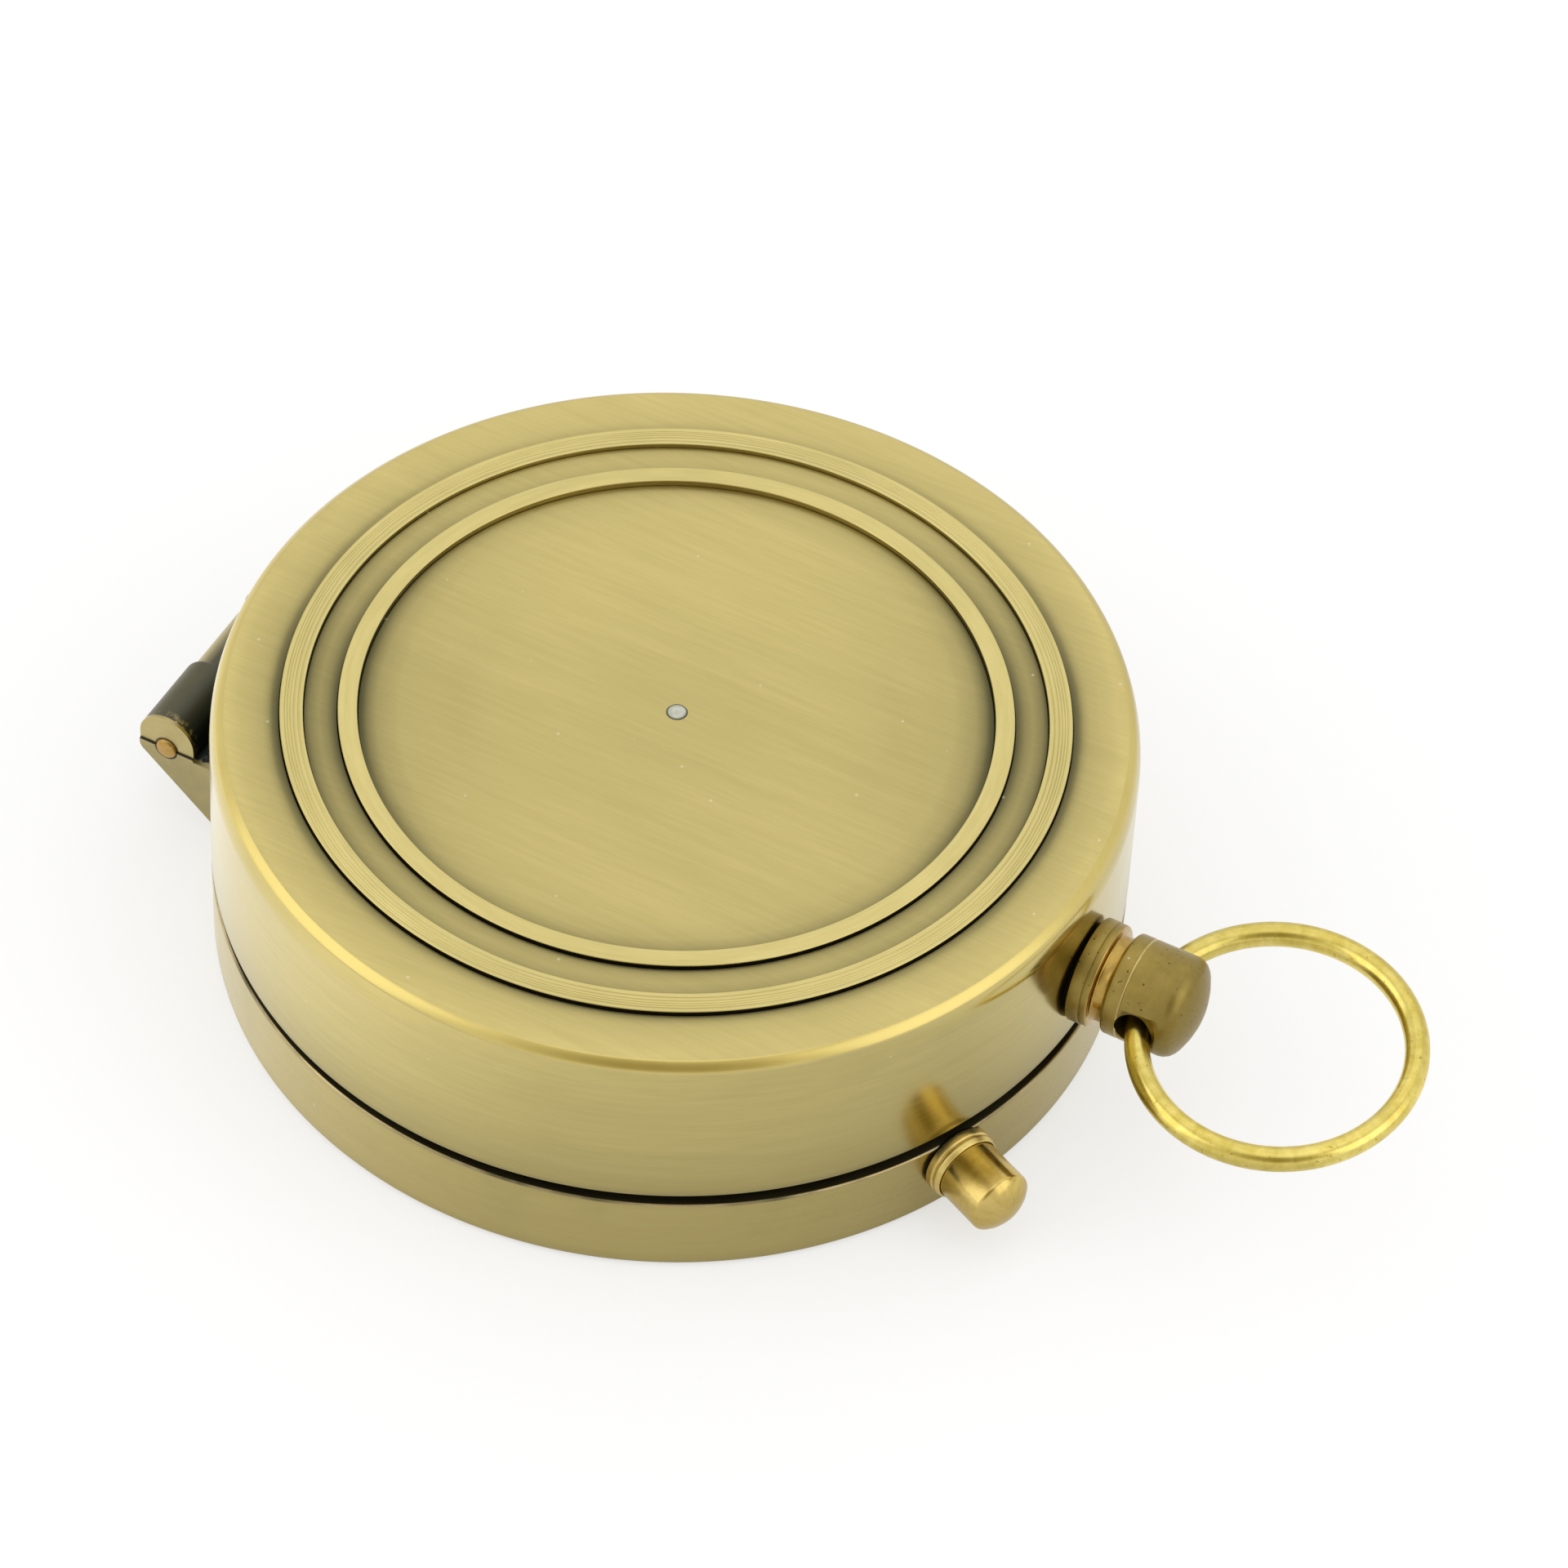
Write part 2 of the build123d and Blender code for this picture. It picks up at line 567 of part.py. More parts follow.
def spring_self_gap():
    """Least gap between the spring's turns, measured on points of its centre line."""
    steps = 24
    points = [spring_point(i / steps)[0] for i in range(SPRING_TURNS * steps + 1)]
    gaps = [
        (points[j] - points[i]).length
        for i in range(len(points))
        for j in range(i + steps // 2, len(points))
    ]
    return min(gaps) - 2 * SPRING_WIRE_R


def button_spring():
    """Return spring, one unbroken coiled wire."""
    arcs = []
    for quarter in range(4 * SPRING_TURNS):
        arcs += quarter_turn(quarter / 4)
    start, tangent = spring_point(0)
    section = Plane(origin=start, z_dir=tangent) * Circle(SPRING_WIRE_R)
    return at_button(sweep(section, path=Wire(arcs)))


def spring_post():
    """Angle bracket on the lid's floor that backs the spring."""
    z_floor = LID_FLOOR - BUTTON_Z
    z_top = BUTTON_BELOW_RIM - POST_TOP_PLAY
    half_w = POST_W / 2
    x_back = POST_X - POST_T
    post = slab(x_back, POST_X, -half_w, half_w, z_floor, z_top)
    post += slab(x_back - POST_FOOT_L, x_back, -half_w, half_w, z_floor, z_floor + POST_FOOT_T)
    top_corners = post.edges().filter_by(Axis.X).sort_by(Axis.Z)[-2:]
    post = fillet(top_corners, half_w / 2)
    post += rod_x(SPIGOT_R, POST_X, POST_X + SPIGOT_L)
    post -= Pos(SCREW_X, 0, z_floor) * Cylinder(
        SCREW_R, POST_FOOT_T, align=(Align.CENTER, Align.CENTER, Align.MIN)
    )
    return at_button(post)


def post_screw():
    """Slotted screw that holds the post to the lid's floor."""
    z_seat = LID_FLOOR + POST_FOOT_T
    z_top = z_seat + SCREW_HEAD_T
    screw = drum(SCREW_R, LID_FLOOR - SCREW_BITE, z_seat) + drum(SCREW_HEAD_R, z_seat, z_top)
    half_slot = SCREW_SLOT_W / 2
    screw -= slab(-SCREW_HEAD_R, SCREW_HEAD_R, -half_slot, half_slot, z_top - SCREW_SLOT_D, z_top)
    return Rot(0, 0, BUTTON_AZ) * (Pos(SCREW_X, 0, 0) * screw)


PARTS = [
    lid_shell, lid_hinge_bracket, hinge_pin, button_bush, bush_nut, spring_post, post_screw,
    push_button, latch_hook, button_spring,
    bowl_case, bowl_hinge_tongue, latch_catch, needle_pivot, dial_plate, dial_ring,
    glass_gasket, cover_glass, bezel_ring, pendant_collar, pendant_post,
    needle, needle_cap, cap_jewel,
    bow_ring,
]

os.makedirs("parts", exist_ok=True)
for make_part in PARTS:
    export_step(make_part(), f"parts/{make_part.__name__}.step")
print(f"Spring: least gap between turns {spring_self_gap():.2f} mm")
print(f"Bow hole radius {HOLE_R:.3f} mm, bow axis at x {HOLE_X:.2f}, z {PENDANT_Z:.2f}")
print(f"Hinge axis at x {PIN_X:.2f}, z {PIN_Z:.2f}")
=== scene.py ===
"""Brass pocket compass, closed and lying face down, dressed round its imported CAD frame."""

import logging
import math
from dataclasses import dataclass
from enum import Enum
from functools import lru_cache
from typing import Callable, Iterable, Optional, Sequence, Union

import bmesh
import bpy
from mathutils import Euler, Matrix, Vector


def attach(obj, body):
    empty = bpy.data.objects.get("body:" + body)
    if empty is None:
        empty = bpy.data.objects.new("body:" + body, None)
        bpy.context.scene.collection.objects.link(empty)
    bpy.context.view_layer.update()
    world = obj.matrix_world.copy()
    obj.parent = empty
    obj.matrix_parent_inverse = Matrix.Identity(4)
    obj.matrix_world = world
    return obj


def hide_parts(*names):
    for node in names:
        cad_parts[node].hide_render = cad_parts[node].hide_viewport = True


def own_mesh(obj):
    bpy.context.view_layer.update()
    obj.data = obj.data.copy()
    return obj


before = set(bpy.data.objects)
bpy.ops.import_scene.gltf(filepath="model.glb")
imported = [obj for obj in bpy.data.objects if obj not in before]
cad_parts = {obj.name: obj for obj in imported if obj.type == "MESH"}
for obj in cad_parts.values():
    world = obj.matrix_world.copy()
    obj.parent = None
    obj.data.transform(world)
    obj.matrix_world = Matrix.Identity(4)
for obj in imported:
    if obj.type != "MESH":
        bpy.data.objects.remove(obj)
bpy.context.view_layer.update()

Rgb = tuple[float, float, float]
Socket = bpy.types.NodeSocket
Feed = Union[Socket, float, Sequence[float]]
Shape = bmesh.types.BMesh
Piece = bpy.types.Object
# A face's centre in millimetres to the index of its material.
Zone = Callable[[float, float, float], int]
# Corner of a turned outline in millimetres: radius, height and, where it is rounded, the rounding.
Corner = tuple[float, ...]

LOG = logging.getLogger("pocket_compass")
MM = 0.001
FULL_TURN = 2 * math.pi
SHARP_ANGLE = math.radians(38)
SAME_SPOT = 1e-8
WHITE = (1.0, 1.0, 1.0)
# Scales of the finishes' marks, per metre.
STRAIGHT_STROKES = (190.0, 3200.0, 3200.0)
LOOSE_STROKES = (1100.0, 1100.0, 1100.0)
RING_STROKES = (5.0, 5.0, 0.0)
RING_PITCH = 2600.0
NEEDLE_STROKES = (150.0, 4200.0, 4200.0)
CLOUD, PIT, FLECK, WORN_SPOT = 130.0, 3600.0, 330.0, 2400.0
STAIN, TOOTH, SMEAR, PAPER = 210.0, 5200.0, 95.0, 900.0
# Painted light: the axis across the view, on whose two ends the bands get their full painted shade and the floor glows
# brighter in glossy rays; the side toward the camera, which gets a little more painted shade than the far side; and the
# radius in metres within which the painted shade stays even.
PAINTED_LIGHT_AXIS = (0.893, 0.451, 0.0)
PAINTED_SHADE_NEAR = (0.451, -0.893, 0.0)
PAINTED_SHADE_CORE = 0.014


class Brush(Enum):
    """Way that a brush or a turning tool marked a metal."""

    ALONG_X = "straight strokes along the local X axis"
    AROUND_Z = "turned round the local Z axis"
    NONE = "no direction"


class Measure(Enum):
    """Place on a turned piece that a band of darkening follows."""

    RADIUS = "distance from the local Z axis"
    HEIGHT = "height along the local Z axis"


@dataclass(frozen=True)
class Band:
    """Share of darkening along one measure, tarnish and on some pieces painted shade: pairs of millimetres and share,
    in rising order.
    """

    measure: Measure
    stops: tuple[tuple[float, float], ...]


@dataclass(frozen=True)
class Seat:
    """Local frame of a turned piece: its centre in millimetres and its turn in degrees."""

    centre: Rgb = (0.0, 0.0, 0.0)
    turn: Rgb = (0.0, 0.0, 0.0)

    def turned(self) -> Matrix:
        """Return the seat's turn as a matrix of three rows."""
        return Euler([math.radians(a) for a in self.turn]).to_matrix()

    def matrix(self) -> Matrix:
        """Return the matrix that carries a piece built on the Z axis to its seat, in metres."""
        return Matrix.Translation(Vector(self.centre) * MM) @ self.turned().to_4x4()


@dataclass(frozen=True)
class Place:
    """Sockets of a point in a seat's frame: the point, its part across the axis, its radius and its height."""

    local: Socket
    flat: Socket
    radius: Socket
    height: Socket


class NodeBench:
    """Adds and links the shader nodes of one tree."""

    def __init__(self, tree: bpy.types.NodeTree) -> None:
        """Start on a tree of a world or a material, which is emptied."""
        tree.nodes.clear()
        self.tree = tree

    def feed(self, socket: Socket, value: Feed) -> None:
        """Link or set one input.

        Args:
            socket: Input socket.
            value: Output socket to link, or a constant to set.
        """
        if isinstance(value, Socket):
            self.tree.links.new(value, socket)
        elif isinstance(value, (int, float)):
            socket.default_value = value
        else:
            alpha = (1.0,) if socket.type == "RGBA" and len(value) == 3 else ()
            socket.default_value = tuple(value) + alpha

    def node(self, kind: str, inputs: Optional[dict] = None, **options) -> bpy.types.Node:
        """Add a node.

        Args:
            kind: Blender's node type without its ShaderNode.
            inputs: Input name or index to a socket or constant.
            **options: Properties of the node.

        Returns:
            The new node.
        """
        node = self.tree.nodes.new("ShaderNode" + kind)
        for name, value in options.items():
            setattr(node, name, value)
        for key, value in (inputs or {}).items():
            self.feed(node.inputs[key], value)
        return node

    def calc(self, operation: str, *values: Feed, clamp: bool = False) -> Socket:
        """Return the output of a Math node."""
        return self.node("Math", dict(enumerate(values)), operation=operation, use_clamp=clamp).outputs[0]

    def times(self, first: Feed, second: Feed) -> Socket:
        """Return the product of two values."""
        return self.calc("MULTIPLY", first, second)

    def scaled(self, value: Feed, factor: Feed, offset: Feed) -> Socket:
        """Return a value times a factor, plus an offset."""
        return self.calc("MULTIPLY_ADD", value, factor, offset)

    def rest(self, share: Feed) -> Socket:
        """Return what a share leaves of 1."""
        return self.calc("SUBTRACT", 1.0, share)

    def in_mm(self, length: Feed) -> Socket:
        """Return a length in millimetres."""
        return self.calc("DIVIDE", length, MM)

    def most(self, first: Feed, *others: Feed) -> Feed:
        """Return the largest of some values."""
        for other in others:
            first = self.calc("MAXIMUM", first, other)
        return first

    def vector(self, operation: str, *values: Feed) -> Socket:
        """Return the vector output of a Vector Math node."""
        return self.node("VectorMath", dict(enumerate(values)), operation=operation).outputs["Vector"]

    def scalar(self, operation: str, *values: Feed) -> Socket:
        """Return the single value of a Vector Math node."""
        return self.node("VectorMath", dict(enumerate(values)), operation=operation).outputs["Value"]

    def noise(self, vector: Feed, scale: float, detail: float, rough: float = 0.55) -> Socket:
        """Return the value of a noise texture on a vector."""
        inputs = {"Vector": vector, "Scale": scale, "Detail": detail, "Roughness": rough}
        return self.node("TexNoise", inputs).outputs[0]

    def ramp(self, value: Feed, *stops: tuple[float, float]) -> Socket:
        """Lead a value through a ramp.

        Args:
            value: Value to look up.
            *stops: Pairs of value and result, in rising order.

        Returns:
            The result's socket.
        """
        low, high = stops[0][0], stops[-1][0]
        span = self.node("MapRange", {"Value": value, "From Min": low, "From Max": high}).outputs[0]
        ramp = self.node("ValToRGB", {"Fac": span})
        elements = ramp.color_ramp.elements
        while len(elements) < len(stops):
            elements.new(0.5)
        for element, (place, share) in zip(elements, stops):
            element.position = (place - low) / (high - low)
            element.color = (share, share, share, 1.0)
        return ramp.outputs["Color"]

    def mix(self, share: Feed, first: Feed, second: Feed, blend: str = "MIX") -> Socket:
        """Return a colour mixed from two by a share."""
        inputs = {"Factor": share, 6: first, 7: second}
        return self.node("Mix", inputs, data_type="RGBA", blend_type=blend).outputs[2]

    def mixed_shader(self, share: Feed, first: bpy.types.Node, second: bpy.types.Node) -> Socket:
        """Return a shader mixed from the first outputs of two nodes by a share."""
        return self.node("MixShader", {0: share, 1: first.outputs[0], 2: second.outputs[0]}).outputs[0]

    def local(self, seat: Seat = Seat()) -> Socket:
        """Return Object coordinates in the local frame of a seat."""
        return self.node("Mapping", {
            "Vector": self.node("TexCoord").outputs["Object"],
            "Location": [c * MM for c in seat.centre],
            "Rotation": [math.radians(a) for a in seat.turn],
        }, vector_type="TEXTURE").outputs[0]

    def place(self, seat: Seat) -> Place:
        """Return the sockets of a point in a seat's frame."""
        local = self.local(seat)
        flat = self.vector("MULTIPLY", local, (1.0, 1.0, 0.0))
        return Place(local, flat, self.scalar("LENGTH", flat), self.node("SeparateXYZ", {0: local}).outputs[2])


class MaterialBench(NodeBench):
    """Bench of one material with a principled shader."""

    def __init__(self, name: str) -> None:
        """Start a material of a name with an output and a principled shader."""
        self.material = bpy.data.materials.new(name)
        self.material.use_nodes = True
        super().__init__(self.material.node_tree)
        self.output = self.node("OutputMaterial")
        self.shader = self.node("BsdfPrincipled")
        self.feed(self.output.inputs["Surface"], self.shader.outputs["BSDF"])

    def shade(self, inputs: dict[str, Feed]) -> None:
        """Feed some inputs of the shader, by their names."""
        for name, value in inputs.items():
            self.feed(self.shader.inputs[name], value)

    def bump(self, height: Feed, depth_mm: float) -> None:
        """Feed the shader's normal from a height from 0 to 1 and the depth of its marks."""
        inputs = {"Height": height, "Distance": depth_mm * MM, "Strength": 1.0}
        self.shade({"Normal": self.node("Bump", inputs).outputs[0]})


@dataclass(frozen=True)
class Palette:
    """Colours that several metals share, as linear values."""

    brass: Rgb = (0.49, 0.406, 0.156)
    brass_bright: Rgb = (0.60, 0.497, 0.20)
    # Dark of tarnish, which is also the colour of painted shade in some bands.
    patina: Rgb = (0.06, 0.06, 0.03)
    umber: Rgb = (0.28, 0.20, 0.05)
    gun: Rgb = (0.031, 0.039, 0.041)
    fleck: Rgb = (0.90, 0.86, 0.70)
    steel: Rgb = (0.62, 0.64, 0.64)
    steel_bright: Rgb = (0.78, 0.79, 0.79)


COLOURS = Palette()


@dataclass(frozen=True)
class MetalFinish:
    """Brushed, turned or worn metal, darkened by tarnish and, on some pieces, by painted shade.

    Attributes:
        base, bright, deep: Colours of the metal, of its fresh strokes and of tarnish and painted shade.
        brush, seat: Way of the strokes and the local frame of strokes and band.
        grain, relief_mm: Share of stroke-to-stroke change in the colour, and the strokes' depth.
        cloud, pits, flecks: Shares of tarnish in loose clouds, of dark pits and of bright flecks.
        band: Darkening along radius or height: tarnish, and on some pieces painted shade.
        anisotropy: Stretch of the highlights across the strokes.
        rubbed: Whether the band is scaled by painted shade: full on the two sides across the view, less toward the
            camera, least on the far side.
    """

    name: str
    base: Rgb
    bright: Rgb
    deep: Rgb = COLOURS.patina
    roughness: float = 0.34
    brush: Brush = Brush.AROUND_Z
    seat: Seat = Seat()
    grain: float = 0.5
    relief_mm: float = 0.004
    cloud: float = 0.15
    band: Optional[Band] = None
    anisotropy: float = 0.0
    pits: float = 0.0
    flecks: float = 0.0
    rubbed: bool = False

    def material(self) -> bpy.types.Material:
        """Return the finish as a node material."""
        bench = MaterialBench(self.name)
        at = bench.place(self.seat)
        strokes, tangent = self._strokes(bench, at)
        fine, broad = bench.noise(strokes, 1.0, 4.0, 0.65), bench.noise(strokes, 0.17, 2.0, 0.5)
        cloud = bench.noise(at.local, CLOUD, 4.0, 0.6)
        patina = self._patina(bench, at, cloud)
        mark = bench.calc("ADD", bench.times(fine, 0.65), bench.times(broad, 0.35))
        half = self.grain / 2
        fresh = bench.ramp(mark, (0.36, 0.5 - half), (0.64, 0.5 + half))
        colour = bench.mix(patina, bench.mix(fresh, self.base, self.bright), self.deep)
        if self.flecks:
            cells = bench.node("TexVoronoi", {"Vector": at.local, "Scale": FLECK}).outputs["Distance"]
            colour = bench.mix(bench.ramp(cells, (0.018, self.flecks), (0.045, 0.0)), colour, COLOURS.fleck)
        rough = bench.scaled(mark, 0.16, self.roughness - 0.08)
        rough = bench.calc("MULTIPLY_ADD", patina, 0.14, rough, clamp=True)
        bench.shade({"Base Color": colour, "Roughness": rough, "Metallic": 1.0})
        if self.anisotropy:
            ways = {"vector_type": "VECTOR", "convert_from": "OBJECT", "convert_to": "WORLD"}
            turned = bench.node("VectorTransform", {0: tangent}, **ways).outputs[0]
            bench.shade({"Anisotropic": self.anisotropy, "Tangent": turned})
        bench.bump(mark, self.relief_mm)
        return bench.material

    def _strokes(self, bench: NodeBench, at: Place) -> tuple[Socket, Feed]:
        """Return the stretched coordinates of the strokes and their tangent in the piece's own frame."""
        turn = self.seat.turned()
        if self.brush is not Brush.AROUND_Z:
            stretch = STRAIGHT_STROKES if self.brush is Brush.ALONG_X else LOOSE_STROKES
            return bench.vector("MULTIPLY", at.local, stretch), turn @ Vector((1.0, 0.0, 0.0))
        across = bench.times(bench.calc("ADD", at.radius, at.height), RING_PITCH)
        ring = bench.vector("MULTIPLY", bench.vector("NORMALIZE", at.flat), RING_STROKES)
        lift = bench.node("CombineXYZ", {2: across}).outputs[0]
        point = bench.node("TexCoord").outputs["Object"]
        spoke = bench.vector("SUBTRACT", point, Vector(self.seat.centre) * MM)
        tangent = bench.vector("CROSS_PRODUCT", turn @ Vector((0.0, 0.0, 1.0)), spoke)
        return bench.vector("ADD", ring, lift), bench.vector("NORMALIZE", tangent)

    def _clouds(self, bench: NodeBench, cloud: Socket) -> Socket:
        """Return the share of tarnish in loose clouds."""
        return bench.times(bench.ramp(cloud, (0.42, 0.0), (0.7, 1.0)), self.cloud)

    def _patina(self, bench: NodeBench, at: Place, cloud: Socket) -> Feed:
        """Return the share of dark from clouds, the band with its ragged edge and, where set, its painted shade, and
        pits.
        """
        share = self._clouds(bench, cloud)
        if self.band:
            measured = at.radius if self.band.measure is Measure.RADIUS else at.height
            ragged = bench.scaled(cloud, 0.35, bench.in_mm(measured))
            band_weight = bench.ramp(bench.calc("SUBTRACT", ragged, 0.175), *self.band.stops)
            # Painted shade: the band is scaled by direction, heaviest on the two sides across the view.
            if self.rubbed:
                band_weight = bench.times(band_weight, self._left_by_rag(bench, at))
            share = bench.most(share, band_weight)
        if self.pits:
            spots = bench.noise(at.local, PIT, 1.0, 0.5)
            share = bench.most(share, bench.ramp(spots, (0.7, 0.0), (0.76, self.pits)))
        return share

    @staticmethod
    def _left_by_rag(bench: NodeBench, at: Place) -> Socket:
        """Return the painted shade's scale of a band: full on the two sides across the view, less toward the camera,
        least on the far side, and even near the axis.
        """
        reach = bench.calc("DIVIDE", 1.0, bench.most(at.radius, PAINTED_SHADE_CORE))
        spoke = bench.node("VectorMath", {0: at.flat, "Scale": reach}, operation="SCALE").outputs["Vector"]
        side, near = (bench.scalar("DOT_PRODUCT", spoke, way) for way in (PAINTED_LIGHT_AXIS, PAINTED_SHADE_NEAR))
        band_weight = bench.calc("POWER", bench.calc("ABSOLUTE", side), 4.0)
        return bench.scaled(band_weight, 0.5, bench.scaled(near, 0.12, 0.43))


@dataclass(frozen=True)
class HingeFinish(MetalFinish):
    """Hinge metal: dark on top of the arches, bare brass on the end faces and the gusset, with a painted highlight
    along the arches' outer upper side and painted shade and a painted shadow toward the bowl.

    The seat's Z axis is the pin and its Y axis points up.

    Attributes:
        face: Distance of the bare end faces from the middle, in millimetres.
        pin_r: Radius of the pin in millimetres.
    """

    face: float = 9.27
    pin_r: float = 0.8

    def _patina(self, bench: NodeBench, at: Place, cloud: Socket) -> Feed:
        """Return the share of dark: arch tops with a painted highlight on their outer upper side and painted shade
        toward the bowl, a painted shadow on the bowl's side, the seam at the pin's level, the line round the pin, a
        light darkening below the pin, and clouds.
        """
        parts = bench.node("SeparateXYZ", {0: bench.vector("DIVIDE", at.flat, (MM, MM, MM))}).outputs
        lean, rise = parts[0], parts[1]
        along = bench.in_mm(bench.calc("ABSOLUTE", at.height))
        bare = bench.ramp(along, (self.face - 0.05, 0.0), (self.face + 0.02, 1.0))
        covered = bench.rest(bare)
        tops = bench.times(bench.ramp(rise, (-0.3, 0.0), (0.1, 1.0)), covered)
        # Painted light across the arch tops: lighter on the outer upper side as a painted highlight, darker toward the
        # bowl as painted shade.
        painted_light_slope = bench.ramp(lean, (-2.05, 0.8), (-1.5, 0.72), (-0.2, 0.8), (0.9, 0.92), (1.5, 1.0))
        # Painted shadow on the bowl's side of the bracket, from just below the pin upward.
        painted_shadow_shelf = bench.times(bench.ramp(lean, (1.2, 0.0), (1.9, 1.0)), bench.ramp(rise, (-0.6, 0.0), (-0.3, 1.0)))
        dark = bench.most(bench.times(tops, painted_light_slope), bench.times(painted_shadow_shelf, covered))
        spots = bench.ramp(bench.noise(at.local, WORN_SPOT, 3.0, 0.6), (0.5, 0.0), (0.62, 1.0))
        worn = bench.times(bench.ramp(along, (self.face - 0.7, 0.0), (self.face - 0.1, 0.8)), spots)
        dark = bench.times(dark, bench.rest(worn))
        seam = bench.ramp(bench.calc("ABSOLUTE", rise), (0.03, 0.85), (0.11, 0.0))
        round_pin = bench.ramp(bench.in_mm(at.radius), (self.pin_r + 0.04, 0.9), (self.pin_r + 0.15, 0.0))
        lines = bench.times(bench.most(seam, round_pin), bare)
        below = bench.ramp(rise, (-1.6, 0.3), (-0.2, 0.24), (-0.1, 0.0))
        return bench.most(below, dark, lines, self._clouds(bench, cloud))


@dataclass(frozen=True)
class PaintFinish:
    """Matt paint or print with a fine tooth, which tends to a stain's colour in places."""

    name: str
    base: Rgb
    stain: Rgb
    roughness: float = 0.55
    tooth_mm: float = 0.004

    def material(self) -> bpy.types.Material:
        """Return the finish as a node material."""
        bench = MaterialBench(self.name)
        local = bench.local()
        stained = bench.ramp(bench.noise(local, STAIN, 4.0, 0.6), (0.4, 0.0), (0.72, 1.0))
        tooth = bench.noise(local, TOOTH, 2.0, 0.5)
        rough = bench.scaled(tooth, 0.15, self.roughness - 0.07)
        bench.shade({"Base Color": bench.mix(stained, self.base, self.stain), "Roughness": rough})
        bench.bump(tooth, self.tooth_mm)
        return bench.material


@dataclass(frozen=True)
class NeedleFinish:
    """Needle lacquered on its north half and bright steel on its south half."""

    name: str
    north: Rgb
    south: Rgb
    blend_m: float = 0.00004
    relief_mm: float = 0.002

    def material(self) -> bpy.types.Material:
        """Return the finish as a node material."""
        bench = MaterialBench(self.name)
        local = bench.local()
        strokes = bench.noise(bench.vector("MULTIPLY", local, NEEDLE_STROKES), 1.0, 3.0)
        along = bench.node("SeparateXYZ", {0: local}).outputs[0]
        side = bench.ramp(along, (-self.blend_m, 0.0), (self.blend_m, 1.0))
        shade = bench.ramp(strokes, (0.35, 0.82), (0.65, 1.0))
        bench.shade({
            "Base Color": bench.mix(1.0, bench.mix(side, self.south, self.north), shade, "MULTIPLY"),
            "Metallic": bench.rest(side),
            "Roughness": bench.scaled(strokes, 0.12, 0.22),
        })
        bench.bump(strokes, self.relief_mm)
        return bench.material


@dataclass(frozen=True)
class GlassFinish:
    """Clear glass or jewel with faint smears."""

    name: str
    tint: Rgb
    ior: float = 1.5

    def material(self) -> bpy.types.Material:
        """Return the finish as a node material."""
        bench = MaterialBench(self.name)
        smear = bench.noise(bench.local(), SMEAR, 4.0, 0.6)
        bench.shade({
            "Base Color": bench.mix(smear, self.tint, [0.97 * c for c in self.tint]),
            "Roughness": bench.ramp(smear, (0.45, 0.0), (0.8, 0.05)),
            "IOR": self.ior,
            "Transmission Weight": 1.0,
        })
        return bench.material


Finish = Union[MetalFinish, PaintFinish, NeedleFinish, GlassFinish]


@lru_cache(maxsize=None)
def made(finish: Finish) -> bpy.types.Material:
    """Return the material of a finish, which is made once."""
    return finish.material()


